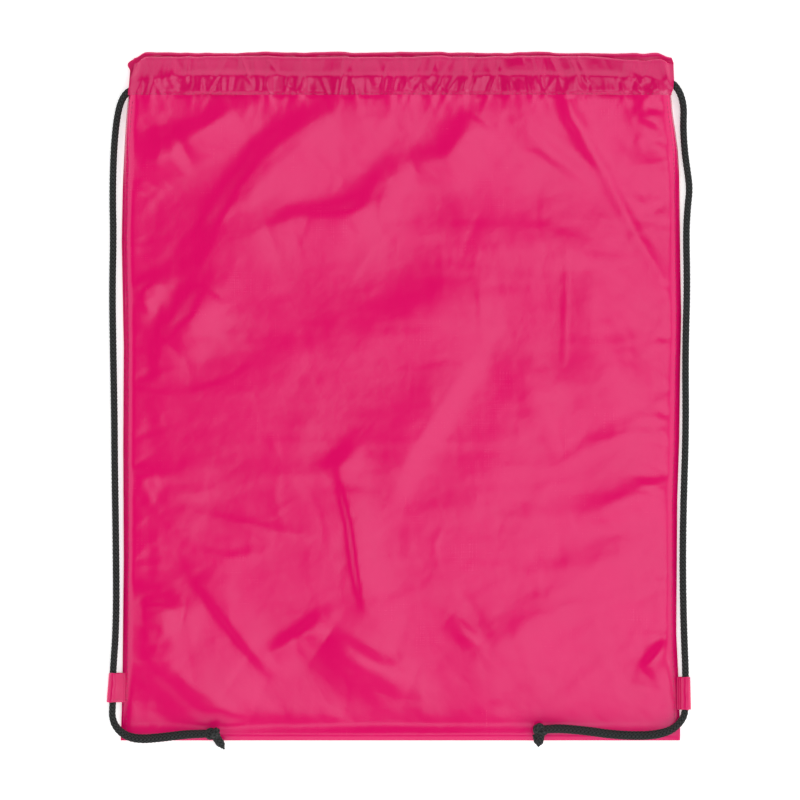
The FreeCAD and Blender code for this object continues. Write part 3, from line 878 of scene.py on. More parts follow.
@dataclass
class FrontPanel:
    """The lofted panel on top of the bag, crumpled by a cloth simulation."""

    step: float = 1.65 * MM
    coarse_step: float = 5.0 * MM
    slack: float = 0.012
    share: float = 0.12
    frames: int = 18
    most: float = 3.0 * MM
    wall: float = 0.25 * MM
    fold_at_side: float = 0.8 * MM
    fold_at_bottom: float = 1.4 * MM
    side_z: float = 0.9 * MM
    bottom_z: float = 0.8 * MM
    name: str = "front_panel_cloth"

    def places(self, step: float) -> tuple:
        """A grid of x and y over the panel's outline.

        Args:
            step: Distance between points, in metres.

        Returns:
            The grids of x and y.
        """
        rows = round((SIZE.stitch_y - SIZE.bottom_y) / step)
        columns = round(SIZE.panel_width / step)
        near = np.array([0.0, 0.0012, 0.0026])
        across = np.concatenate([near, np.linspace(0, 1, columns)[1:-1], 1 - near[::-1]])
        y, u = np.meshgrid(np.linspace(SIZE.bottom_y, SIZE.stitch_y, rows), across, indexing="ij")
        left, right = edge_x(LEFT_EDGE, y), edge_x(RIGHT_EDGE, y)
        return left + (right - left) * u, y

    def settle(self) -> np.ndarray:
        """Let a slack sheet settle on the bag's lofted shape.

        Returns:
            How far each point of the coarse grid moved.
        """
        x, y = self.places(self.coarse_step)
        rows, columns = x.shape
        start = np.stack([x, y, LIE.loft(x, y) + LIE.folds(x, y)], -1)
        faces = grid_faces(rows, columns)
        scatter = np.random.default_rng(5).normal(0, 0.12 * MM, x.shape)
        raised = start + np.stack([0 * x, 0 * x, 1.3 * MM + scatter], -1)
        sheet = mesh_piece("slack_sheet", raised.reshape(-1, 3), faces)
        bed = mesh_piece("bed", start.reshape(-1, 3), faces)
        bed.modifiers.new("solid", "COLLISION")
        bed.collision.thickness_outer = 0.6 * MM
        held = sheet.vertex_groups.new(name="held")
        numbers = np.arange(rows * columns).reshape(rows, columns)
        inner = numbers[2:-2, 2:-2]
        held.add([int(i) for i in np.setdiff1d(numbers, inner)], 1.0, "REPLACE")
        cloth = sheet.modifiers.new("cloth", "CLOTH")
        rules = cloth.settings
        rules.quality = 6
        rules.mass = 0.05
        rules.tension_stiffness = rules.compression_stiffness = 12
        rules.shear_stiffness = 4
        rules.bending_stiffness = 0.5
        rules.air_damping = 2
        rules.shrink_min = -self.slack
        rules.vertex_group_mass = "held"
        rules.effector_weights.gravity = 0.35
        cloth.collision_settings.distance_min = 0.7 * MM
        scene = bpy.context.scene
        for frame_number in range(1, self.frames + 1):
            scene.frame_set(frame_number)
        shaped = sheet.evaluated_get(bpy.context.evaluated_depsgraph_get()).to_mesh()
        moved = np.array([v.co for v in shaped.vertices], float).reshape(start.shape) - raised
        scene.frame_set(1)
        bpy.data.objects.remove(sheet)
        bpy.data.objects.remove(bed)
        moved[:, :, 2] -= moved[2:-2, 2:-2, 2].mean()
        border = np.ones((rows, columns))
        for ring, share in ((0, 0.0), (1, 0.0), (2, 0.4), (3, 0.8)):
            border[ring, ring:columns - ring] = border[-1 - ring, ring:columns - ring] = share
            border[ring:rows - ring, ring] = border[ring:rows - ring, -1 - ring] = share
        LOG.info("settled: largest move %.1f mm", np.abs(moved).max() / MM)
        return np.clip(moved, -self.most, self.most) * border[..., None] * self.share

    def build(self) -> bpy.types.Object:
        """Build the sheet up to the casing's stitch line.

        Returns:
            The finished piece.
        """
        x, y = self.places(self.step)
        rows, columns = x.shape
        moved = spread(self.settle(), rows, columns)
        z = LIE.height(x, y, LIE.loft(x, y) + LIE.folds(x, y) + moved[:, :, 2])
        edge = np.minimum(x - edge_x(LEFT_EDGE, y), edge_x(RIGHT_EDGE, y) - x)
        z -= (z - self.side_z) * np.exp(-(edge / self.fold_at_side) ** 2)
        z -= (z - self.bottom_z) * np.exp(-((y - SIZE.bottom_y) / self.fold_at_bottom) ** 2)
        points = np.stack([x + moved[:, :, 0], y + moved[:, :, 1], z], -1).reshape(-1, 3)
        piece = mesh_piece(self.name, points, grid_faces(rows, columns))
        thicken(piece, self.wall)
        dress(piece, Finish.PANEL)
        lip_blend(piece)
        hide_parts("front_panel")
        return piece


def lip_blend(piece: bpy.types.Object) -> None:
    """Bake a piece's placement into its mesh.

    Args:
        piece: The piece.
    """
    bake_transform(piece)


@dataclass
class BackPanel:
    """The panel that the bag lies on."""

    step: float = 3.0 * MM
    level: float = 0.25 * MM
    unevenness: float = 0.30 * MM
    rim_rise: float = 0.55 * MM
    name: str = "back_panel_cloth"

    def build(self) -> bpy.types.Object:
        """Build the sheet, almost flat, with its edges up at the seams.

        Returns:
            The finished piece.
        """
        rows = round((SIZE.stitch_y - SIZE.bottom_y) / self.step)
        columns = round(SIZE.panel_width / self.step)
        y = np.linspace(SIZE.bottom_y, SIZE.stitch_y, rows)
        yy, uu = np.meshgrid(y, np.linspace(0, 1, columns), indexing="ij")
        left, right = edge_x(LEFT_EDGE, yy), edge_x(RIGHT_EDGE, yy)
        xx = left + (right - left) * uu
        edge = np.minimum(np.minimum(xx - left, right - xx), yy - SIZE.bottom_y)
        uneven = 1 + LIE.coarse(xx / 0.03, yy / 0.035)
        zz = self.level + self.unevenness * uneven * smooth_step(0, 0.01, edge)
        zz += self.rim_rise * np.exp(-(edge / (1.3 * MM)) ** 2)
        points = np.stack([xx, yy, zz], -1).reshape(-1, 3)
        piece = mesh_piece(self.name, points, [face[::-1] for face in grid_faces(rows, columns)])
        dress(piece, Finish.PANEL)
        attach(piece, "bag")
        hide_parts("back_panel")
        return piece


@dataclass
class Casing:
    """A turned-down hem, as one sheet round its tunnel, from stitch line to stitch line."""

    name: str
    node: str
    rim_y: float
    is_front: bool
    step: float = 0.9 * MM
    tunnel: float = 3.5 * MM
    wall: float = 0.25 * MM
    sewn: float = 0.4 * MM
    corner_round: float = 3.4 * MM
    rim_dip: float = 1.9 * MM
    back_level: float = 4.2 * MM
    rim_steps: int = 7

    def top_z(self, x: np.ndarray, y: np.ndarray) -> np.ndarray:
        """Height of the hem's upper layer.

        Args:
            x: Places across the bag, in metres.
            y: Places along the bag, in metres.

        Returns:
            The height at each place.
        """
        if self.is_front:
            return LIE.height(x, y)
        wave = 0.5 * MM * LIE.middle(x / 0.012, y / 0.02 + 7) + 0.3 * MM * LIE.fine(x / 0.005, y / 0.02)
        return self.back_level + wave

    def section(self) -> list:
        """Places round the hem: y, and how far down through the hem's thickness.

        Returns:
            Places as (y, share of the thickness).
        """
        deep = round((self.rim_y - SIZE.stitch_y) / self.step)
        turn_y = self.rim_y - self.tunnel / 2
        top = [(y, 0.0) for y in np.linspace(SIZE.stitch_y, turn_y, deep)]
        rim = []
        for step in range(1, self.rim_steps):
            angle = math.pi * step / self.rim_steps
            rim.append((turn_y + math.sin(angle) * self.tunnel / 2, (1 - math.cos(angle)) / 2))
        return top + rim + [(y, 1.0) for y, _ in top[::-1]]

    def rim_wave(self, columns: int) -> np.ndarray:
        """How far the rim strays along the bag: small waves, a dip, and rounded corners.

        Args:
            columns: Points across the bag.

        Returns:
            The shift at each column.
        """
        across = np.linspace(-0.165, 0.167, columns)
        wave = 0.55 * MM * LIE.middle(across / 0.021, np.full(columns, 3.3 + self.is_front))
        wave += 0.30 * MM * LIE.fine(across / 0.006, np.full(columns, 1.7))
        if self.is_front:
            wave -= self.rim_dip * bump_at(across, 0.145, 0.016)
        corners = smooth_step(0.158, 0.1672, across) + smooth_step(-0.1575, -0.1652, across)
        return wave - self.corner_round * corners

    def build(self) -> bpy.types.Object:
        """Build the hem: upper layer, rounded rim, lower layer.

        Returns:
            The finished piece.
        """
        columns = round(SIZE.casing_width / self.step)
        u = np.linspace(0, 1, columns)
        left_edge = LEFT_EDGE if self.is_front else BACK_LEFT_EDGE
        wave = self.rim_wave(columns)
        points = []
        for y, share in self.section():
            line_y = np.full(columns, y)
            x = edge_x(left_edge, line_y) * (1 - u) + edge_x(RIGHT_EDGE, line_y) * u
            up = smooth_step(SIZE.stitch_y, self.rim_y, line_y)
            top = self.top_z(x, np.minimum(line_y, self.rim_y - self.tunnel / 2))
            pinch = smooth_step(SIZE.stitch_y - 1 * MM, SIZE.stitch_y + 4 * MM, line_y)
            thick = self.sewn + (self.tunnel - self.sewn) * pinch
            z = top - thick * share
            if self.is_front:
                lowest = np.minimum(z, LIE.under_cords(x, line_y))
                z = z + (lowest - z) * smooth_step(0.5, 1.0, np.array(share))
            else:
                z = np.maximum(z, 0.25 * MM)
            points.append(np.stack([x, line_y + wave * up, z], -1))
        piece = mesh_piece(self.name, np.concatenate(points), grid_faces(len(points), columns))
        thicken(piece, self.wall)
        # The casing cloth's darker colours, against the panel's, are painted shade.
        dress(piece, Finish.CASING)
        if self.is_front:
            lip_blend(piece)
        else:
            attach(piece, "bag")
        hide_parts(self.node)
        return piece


# ---------------------------------------------------------------- cords

@dataclass(frozen=True)
class Braid:
    """Section and plait of the drawcord."""

    width: float = 4.0 * MM
    thickness: float = 1.9 * MM
    carriers: int = 6
    pitch: float = 2.4 * MM
    relief: float = 0.42 * MM
    around: int = 36
    step: float = 0.36 * MM
    side_power: float = 0.72
    top_power: float = 0.9

    def route(self, points: list, closed: bool = False) -> np.ndarray:
        """Even points along the smooth line that a route's points control.

        Args:
            points: The route's control points, in metres.
            closed: Whether the route closes on itself.

        Returns:
            Points one step apart.
        """
        curve = bpy.data.curves.new("route", "CURVE")
        curve.dimensions = "3D"
        curve.resolution_u = 24
        spline = curve.splines.new("NURBS")
        spline.points.add(len(points) - 1)
        for target, point in zip(spline.points, points):
            target.co = (*point, 1)
        spline.order_u = 3
        spline.use_endpoint_u = not closed
        spline.use_cyclic_u = closed
        holder = bpy.data.objects.new("route", curve)
        bpy.context.scene.collection.objects.link(holder)
        mesh = bpy.data.meshes.new_from_object(holder)
        line = np.array([v.co for v in mesh.vertices], float)
        bpy.data.objects.remove(holder)
        bpy.data.curves.remove(curve)
        bpy.data.meshes.remove(mesh)
        if closed:
            line = np.concatenate([line, line[:1]])
        lengths = np.concatenate([[0], np.cumsum(np.linalg.norm(np.diff(line, axis=0), axis=1))])
        even = np.linspace(0, lengths[-1], max(8, round(lengths[-1] / self.step)) + closed)
        even = even[:-1] if closed else even
        return np.stack([np.interp(even, lengths, line[:, axis]) for axis in range(3)], -1)

    def tube(self, name: str, line: np.ndarray, across: tuple | None = None, closed: bool = False,
             widths: np.ndarray | None = None, thicks: np.ndarray | None = None) -> bpy.types.Object:
        """A braided flat tube along a line.

        Args:
            name: The piece's name.
            line: Even points along it.
            across: A fixed direction of its width, or none if it lies flat.
            closed: Whether the line closes on itself.
            widths: Its width at each point, or none for the usual one.
            thicks: Its thickness at each point, or none for the usual one.

        Returns:
            The piece, with the plait's relief in an attribute, which the cord material also paints as a
            highlight on the crowns.
        """
        count = len(line)
        if closed:
            along = np.roll(line, -1, 0) - np.roll(line, 1, 0)
        else:
            along = np.gradient(line, axis=0)
        along /= np.linalg.norm(along, axis=1, keepdims=True)
        if across is None:
            side = np.cross(along, np.array([0, 0, 1.0]))
        else:
            side = np.tile(np.array(across, float), (count, 1))
            side -= along * np.sum(side * along, 1, keepdims=True)
        side /= np.linalg.norm(side, axis=1, keepdims=True)
        up = np.cross(side, along)
        widths = np.full(count, self.width) if widths is None else widths
        thicks = np.full(count, self.thickness) if thicks is None else thicks
        travel = np.concatenate([[0], np.cumsum(np.linalg.norm(np.diff(line, axis=0), axis=1))])
        theta = np.linspace(0, 2 * math.pi, self.around, endpoint=False)
        turn, run = np.meshgrid(theta / (2 * math.pi) * self.carriers, travel / self.pitch)
        first, second = turn + run, turn - run
        over = 0.5 * np.cos(math.pi * (first + second))
        relief = np.maximum(np.cos(math.pi * first) ** 2 + over, np.cos(math.pi * second) ** 2 - over)
        relief = np.clip(relief / 1.3, 0, 1)
        c, s = np.cos(theta), np.sin(theta)
        ring_side = np.sign(c) * np.abs(c) ** self.side_power
        ring_up = np.sign(s) * np.abs(s) ** self.top_power
        lift = (relief - 0.75) * self.relief
        half_w = widths[:, None] / 2 + lift
        half_t = thicks[:, None] / 2 + lift
        points = (line[:, None, :] + side[:, None, :] * (half_w * ring_side)[..., None]
                  + up[:, None, :] * (half_t * ring_up)[..., None])
        faces = [face[::-1] for face in grid_faces(count, self.around, wrap=True)]
        flat_points = points.reshape(-1, 3)
        if closed:
            last = (count - 1) * self.around
            for i in range(self.around):
                j = (i + 1) % self.around
                faces.append((last + i, i, j, last + j))
        else:
            flat_points = np.concatenate([flat_points, line[:1], line[-1:]])
            start, end = count * self.around, count * self.around + 1
            last = (count - 1) * self.around
            for i in range(self.around):
                j = (i + 1) % self.around
                faces.append((start, i, j))
                faces.append((end, last + j, last + i))
        piece = mesh_piece(name, flat_points, faces)
        values = np.zeros(len(flat_points), np.float32)
        values[:relief.size] = relief.reshape(-1)
        # The relief also drives the cord material's painted highlight on the crowns.
        piece.data.attributes.new("relief", "FLOAT", "POINT").data.foreach_set("value", values)
        dress(piece, Finish.CORD)
        return piece


BRAID = Braid()

# Routes of the paired strands, in millimetres: x, y, height of the pair's middle, how far each
# strand lies above or below it, and how far the two fan apart sideways.
LEFT_STRAP = (
    (-156.4, 187.4, 5.04, 2.84, 0), (-161.8, 187.3, 4.94, 2.54, 0), (-166.6, 184.6, 4.34, 1.9, 0),
    (-169.8, 178.9, 3.1, 1.3, 0), (-171.7, 171.4, 2.1, 1, 0), (-173.1, 160.5, 2, 1, 0),
    (-174.2, 145, 2, 1, 0), (-174.7, 121, 2, 1, 0), (-174.2, 97, 2, 1, 0), (-174.9, 64, 2, 1, 0),
    (-174.4, 30, 2, 1, 0), (-173.7, -8, 2, 1, 0), (-173.4, -45, 2, 1, 0), (-172.7, -88, 2, 1, 0),
    (-172.4, -124, 2, 1, 0), (-172.9, -146, 2.2, 1, 0), (-174.0, -162, 2.8, 1, 0),
    (-174.55, -170.5, 3.15, 1, 0), (-174.55, -177.5, 3.15, 1, 0),
)
RIGHT_STRAP = (
    (159.0, 193.0, 5.04, 2.84, 0), (163.2, 192.6, 4.94, 2.54, 0), (168.3, 189.4, 4.44, 2.04, 0),
    (171.8, 183.6, 3.3, 1.4, 0), (173.6, 175.6, 2.3, 1, 0), (173.1, 164.5, 2, 1, 0), (174.0, 149, 2, 1, 0),
    (175.9, 136, 2, 1, 0), (177.1, 126, 2, 1, 0), (175.7, 114, 2, 1, 0), (174.9, 98, 2, 1, 0),
    (175.6, 68, 2, 1, 0), (174.4, 26, 2, 1, 0), (174.8, -20, 2, 1, 0), (173.4, -62, 2, 1, 0),
    (172.8, -98, 2, 1, 0), (173.2, -130, 2, 1, 0), (173.9, -152, 2.3, 1, 0), (174.55, -167, 3.0, 1, 0),
    (174.55, -180.95, 3.15, 1, 0),
)
LEFT_END = (
    (-174.55, -177.9, 3.15, 1, 0), (-174.55, -188, 3.15, 1, 0), (-175.1, -195.5, 3.8, 1, 0.1),
    (-172.5, -202.2, 4.15, 1, 0.3), (-166.3, -207.4, 4.15, 1, 0.5), (-157.5, -209.2, 4.15, 1, 0.6),
    (-144, -208, 4.15, 1, 0.6), (-131, -206.3, 4.15, 1, 0.6), (-122.5, -205.9, 4.7, 1, 0.5),
    (-115.5, -205.6, 5.5, 1, 0.3),
)
RIGHT_END = (
    (174.55, -181.35, 3.15, 1, 0), (174.55, -191.5, 3.15, 1, 0), (172.6, -197.5, 4.0, 1, 0.1),
    (166.6, -203.4, 4.15, 1, 0.3), (157.5, -206.3, 4.15, 1, 0.6), (146, -207.1, 4.15, 1, 0.6),
    (130, -206.3, 4.15, 1, 0.6), (113, -203.9, 4.15, 1, 0.6), (98.5, -202.6, 4.15, 1, 0.6),
    (91.5, -202.9, 4.6, 1, 0.5), (86.0, -203.3, 5.5, 1, 0.3),
)


def strand_points(route: tuple, upper: bool) -> list:
    """One strand's control points, in metres, from a pair's route."""
    way = 1 if upper else -1
    return [(x * MM, (y - way * fan) * MM, (z + way * lift) * MM) for x, y, z, lift, fan in route]


@dataclass
class SideCords:
    """One side's strap, its end below the tab, its knot and its tails, and the runs in the casings."""

    side: str
    strap: tuple
    end: tuple
    knot_place: tuple
    knot_turn: tuple
    tails: tuple
    run_y: float
    knot_size: float = 1.02 * MM
    knot_points: int = 18
    knot_thickness: float = 3.0 * MM
    tail_width: float = 4.3 * MM
    tail_thickness: float = 2.1 * MM

    def straps(self) -> list:
        """Build both strands from the casing to the tab.

        Returns:
            The two pieces.
        """
        made = []
        for level in ("upper", "lower"):
            points = strand_points(self.strap, level == "upper")
            line = BRAID.route(points)
            piece = BRAID.tube(f"{self.side}_strap_{level}_braid", line)
            if level == "upper":
                way = -1 if self.side == "left" else 1
                start = (way * 0.1715, self.run_y - 0.016, 0)
                way * 0.1600
                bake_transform(piece)
            else:
                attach(piece, "bag")
            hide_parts(f"{self.side}_strap_{level}_strand")
            made.append(piece)
        return made

    def knot(self) -> bpy.types.Object:
        """Build the overhand knot as a flat braid round a tight three-lobed turn.

        Returns:
            The piece.
        """
        size = self.knot_size
        turn_x, turn_y, turn_z = (math.radians(a) for a in self.knot_turn)
        points = []
        for step in range(self.knot_points):
            t = 2 * math.pi * step / self.knot_points
            x = (math.sin(t) + 2 * math.sin(2 * t)) * size * 1.12
            y = (math.cos(t) - 2 * math.cos(2 * t)) * size
            z = -math.sin(3 * t) * size * 1.5
            place = Vector((x, y, z))
            place.rotate(Euler((turn_x, turn_y, turn_z)))
            points.append(tuple(place + Vector(self.knot_place) * MM))
        line = BRAID.route(points, closed=True)
        count = len(line)
        piece = BRAID.tube(f"{self.side}_knot_braid", line, closed=True,
                           thicks=np.full(count, self.knot_thickness))
        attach(piece, f"{self.side}_cord_end")
        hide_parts(f"{self.side}_knot")
        return piece

    def tail_pieces(self) -> list:
        """Build the two cut ends past the knot, each drawn to a sealed point.

        Returns:
            The two pieces.
        """
        made = []
        for number, (start, end) in enumerate(self.tails, 1):
            centre = np.array(self.knot_place)
            first, last = centre + np.array(start), centre + np.array(end)
            middle = (first + last) / 2 + np.array([0.35, 0.1, 0.2])
            line = BRAID.route([tuple(p * MM) for p in (first, middle, last)])
            share = np.linspace(0, 1, len(line))
            widths = self.tail_width * (1 - 0.80 * smooth_step(0.60, 1.0, share))
            thicks = self.tail_thickness * (1 - 0.6 * smooth_step(0.5, 1.0, share))
            piece = BRAID.tube(f"{self.side}_tail_{number}", line, widths=widths, thicks=thicks)
            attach(piece, f"{self.side}_cord_end")
            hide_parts(f"{self.side}_tails")
            made.append(piece)
        return made

    def ends(self) -> list:
        """Build both strands from the tab to the knot.


        Returns:
            The two pieces.
        """
        made = []
        for level in ("upper", "lower"):
            points = strand_points(self.end, level == "upper")
            line = BRAID.route(points)
            piece = BRAID.tube(f"{self.side}_end_{level}_braid", line)
            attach(piece, f"{self.side}_cord_end")
            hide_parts(f"{self.side}_end_{level}_strand")
            made.append(piece)
        return made

    def runs(self) -> list:
        """Build the stretches in the front and back casings, and the turn between them.

        Returns:
            The two pieces.
        """
        way = 1 if self.side == "left" else -1
        middle = SIZE.middle_x
        reach, start = 161.4 * MM, 157.3 * MM
        front = [(middle + place * MM, self.run_y, height * MM) for place, height in
                 ((-157.3, 7.87), (-141, 9.7), (-120, 11.8), (-60, 11.85), (0, 11.8), (60, 11.85),
                  (120, 11.8), (141, 9.7), (157.3, 7.87))]
        back = [(middle + way * start, self.run_y, 7.87 * MM), (middle + way * reach, self.run_y, 7.5 * MM),
                (middle + way * (reach + 1.2 * MM), self.run_y, 5.0 * MM),
                (middle + way * reach, self.run_y, 2.4 * MM)]
        back += [(middle + way * place * MM, self.run_y, 2.2 * MM)
                 for place in (157, 120, 60, 0, -60, -120, -157.3)]
        rough = Braid(around=16, step=1.2 * MM)
        made = []
        for place, points in (("front", front), ("back", back)):
            piece = rough.tube(f"{self.side}_{place}_run_braid", rough.route(points), across=(0, 1, 0))
            if place == "front":
                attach(piece, "front_lip")
            else:
                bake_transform(piece)
            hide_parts(f"{self.side}_cord_{place}_run")
            made.append(piece)
        return made

    def build(self) -> list:
        """Build all of one side's cord.

        Returns:
            All of the pieces.
        """
        made = self.straps() + self.runs()
        on_it = [self.knot()] + self.tail_pieces()
        return made + on_it + self.ends()


# ---------------------------------------------------------------- tabs and stitches

@dataclass
class Tab:
    """A folded strip of cloth round the cords, sewn into the side seam."""

    side: str
    lean: float
    wall: float = 0.5 * MM
    radius: float = 2.75 * MM
    cut_length: float = 24.0 * MM
    bend_steps: int = 14
    rows: int = 15

    def profile(self, inner: float, centre_x: float, way: int) -> list:
        """Points of the strip's section, from the seam under the cords and back over them.

        Args:
            inner: The seam's x.
            centre_x: The cords' x.
            way: 1 towards +X, -1 towards -X.

        Returns:
            Points as (x, z).
        """
        low = [(inner - way * 1.0 * MM, 0.9 * MM), (inner + way * 0.6 * MM, 0.55 * MM)]
        bend = []
        for step in range(self.bend_steps + 1):
            angle = math.radians(-90 + 180 * step / self.bend_steps)
            bend.append((centre_x + way * self.radius * 0.98 * math.cos(angle),
                         3.05 * MM + self.radius * math.sin(angle)))
        high = [(centre_x - way * 1.6 * MM, 5.45 * MM), (centre_x - way * 3.1 * MM, 4.3 * MM),
                (inner + way * 1.1 * MM, 2.9 * MM), (inner + way * 0.2 * MM, 2.1 * MM),
                (inner - way * 1.4 * MM, 2.0 * MM)]
        return low + bend + high

    def build(self) -> bpy.types.Object:
        """Build the strip, thicken it and round its edges.

        Returns:
            The finished piece.
        """
        way = -1 if self.side == "left" else 1
        low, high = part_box(f"{self.side}_tab")
        inner = high.x if way < 0 else low.x
        centre_x = low.x + 3.15 * MM if way < 0 else high.x - 3.15 * MM
        section = self.profile(inner, centre_x, way)
        points = []
        for row in range(self.rows):
            share = row / (self.rows - 1)
            y = low.y + (high.y - low.y) * share
            shift = way * self.lean * (0.5 - share)
            for number, (x, z) in enumerate(section):
                hold = min(1, abs(x - inner) / (5 * MM))
                wave = 0.22 * MM * float(LIE.middle(np.array(x / 0.004), np.array(y / 0.005)))
                fray = 0.3 * MM * math.sin(number) * (share - 0.5)
                points.append((x + shift * hold, y + fray, z + wave * hold))
        faces = grid_faces(self.rows, len(section))
        if way < 0:
            faces = [face[::-1] for face in faces]
        piece = mesh_piece(f"{self.side}_tab_cloth", np.array(points), faces)
        thicken(piece, self.wall, 1)
        dress(piece, Finish.TAB)
        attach(piece, "bag")
        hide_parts(f"{self.side}_tab")
        return piece


SHARP_ANGLE = math.radians(70)


def thicken(piece: bpy.types.Object, wall: float, levels: int = 0) -> None:
    """Give a sheet its thickness, inwards, and smooth it if asked.

    Args:
        piece: The piece.
        wall: Its thickness, in metres.
        levels: Levels of subdivision.
    """
    activate(piece)
    solid = piece.modifiers.new("wall", "SOLIDIFY")
    solid.thickness = wall
    solid.offset = -1
    solid.use_even_offset = False
    bpy.ops.object.modifier_apply(modifier=solid.name)
    if levels:
        smooth = piece.modifiers.new("smooth", "SUBSURF")
        smooth.levels = smooth.render_levels = levels
        bpy.ops.object.modifier_apply(modifier=smooth.name)
    bpy.ops.object.shade_smooth_by_angle(angle=SHARP_ANGLE)


@dataclass
class StitchRow:
    """Rows of lockstitch: one stitch modelled once, and copied along each row."""

    name: str
    node: str
    rows: list
    body: str
    stitch: float = 2.2 * MM
    gap: float = 0.7 * MM
    thread: float = 0.36 * MM
    sink: float = 0.30 * MM

    def model_stitch(self) -> tuple:
        """Model one stitch by hand tools: a bead drawn out to its length, with its ends sunk.

        Returns:
            The stitch's points and faces.
        """
        clear_selection()
        bpy.ops.mesh.primitive_uv_sphere_add(segments=6, ring_count=6, radius=self.thread / 2)
        bead = bpy.context.view_layer.objects.active
        bpy.ops.object.mode_set(mode="EDIT")
        bpy.ops.mesh.select_all(action="SELECT")
        bpy.ops.transform.rotate(value=math.pi / 2, orient_axis="Y", center_override=(0, 0, 0))
        bpy.ops.transform.resize(value=(self.stitch / self.thread, 1, 0.8))
        bpy.ops.object.mode_set(mode="OBJECT")
        points = np.array([v.co for v in bead.data.vertices], float)
        points[:, 2] -= self.sink * (2 * points[:, 0] / self.stitch) ** 2
        faces = [tuple(p.vertices) for p in bead.data.polygons]
        bpy.data.objects.remove(bead)
        return points, faces

    def build(self) -> bpy.types.Object:
        """Copy the stitch along every row, lying on the cloth.

        Returns:
            The finished piece.
        """
        points, faces = self.model_stitch()
        all_points, all_faces = [], []
        for row in self.rows:
            lengths = np.concatenate([[0], np.cumsum(np.linalg.norm(np.diff(row, axis=0), axis=1))])
            count = max(2, round(lengths[-1] / (self.stitch + self.gap)))
            for number in range(count):
                centre, tip = (lengths[-1] * (number + share) / count for share in (0.5, 0.6))
                here = np.array([np.interp(centre, lengths, row[:, axis]) for axis in range(3)])
                there = np.array([np.interp(tip, lengths, row[:, axis]) for axis in range(3)])
                along = (there - here) / np.linalg.norm(there - here)
                side = np.cross([0, 0, 1.0], along)
                side /= np.linalg.norm(side)
                up = np.cross(along, side)
                base = len(all_points) * len(points)
                all_points.append(here + points @ np.stack([along, side, up]))
                all_faces.extend(tuple(base + i for i in face) for face in faces)
        piece = mesh_piece(self.name, np.concatenate(all_points), all_faces)
        dress(piece, Finish.THREAD)
        if self.body == "lip":
            lip_blend(piece)
        else:
            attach(piece, self.body)
        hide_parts(self.node)
        return piece


SIDE_SEAM_INSET = 3.1 * MM
BACK_CASING_TOP = 4.35 * MM


def side_row(edge: tuple, way: int) -> np.ndarray:
    """A row of stitches up one side of the front panel.

    Args:
        edge: Points of a side edge, as (y, x).
        way: 1 towards +X, -1 towards -X.

    Returns:
        Points of the row.
    """
    y = np.arange(SIZE.bottom_y + 3 * MM, SIZE.stitch_y - 3 * MM, 1 * MM)
    x = edge_x(edge, y) + way * SIDE_SEAM_INSET
    return np.stack([x, y, LIE.height(x, y) + 0.08 * MM], -1)


def casing_row(front: bool) -> np.ndarray:
    """The row of stitches that closes a casing.

    Args:
        front: Whether the casing is the front one.

    Returns:
        Points of the row.
    """
    x = np.arange(-0.1630, 0.1645, 1 * MM)
    y = np.full(x.shape, SIZE.stitch_y + 0.7 * MM)
    z = LIE.height(x, y) + 0.05 * MM if front else np.full(x.shape, BACK_CASING_TOP)
    return np.stack([x, y, z], -1)


def tab_rows(side: str) -> list:
    """The two short rows of stitches across a tab.

    Args:
        side: left or right.

    Returns:
        Points of each row.
    """
    low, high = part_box(f"{side}_tab")
    way = -1 if side == "left" else 1
    inner = high.x if way < 0 else low.x
    rows = []
    for y in (low.y + 1.6 * MM, high.y - 1.6 * MM):
        x = inner + way * np.linspace(1.4, 6.2, 12) * MM
        top = np.interp(np.abs(x - inner), np.array([0, 1.1, 3.2, 4.6, 6.3]) * MM,
                        np.array([2.0, 2.9, 4.6, 5.7, 5.75]) * MM)
        rows.append(np.stack([x, np.full(x.shape, y), top + 0.17 * MM], -1))
    return rows


# ---------------------------------------------------------------- studio

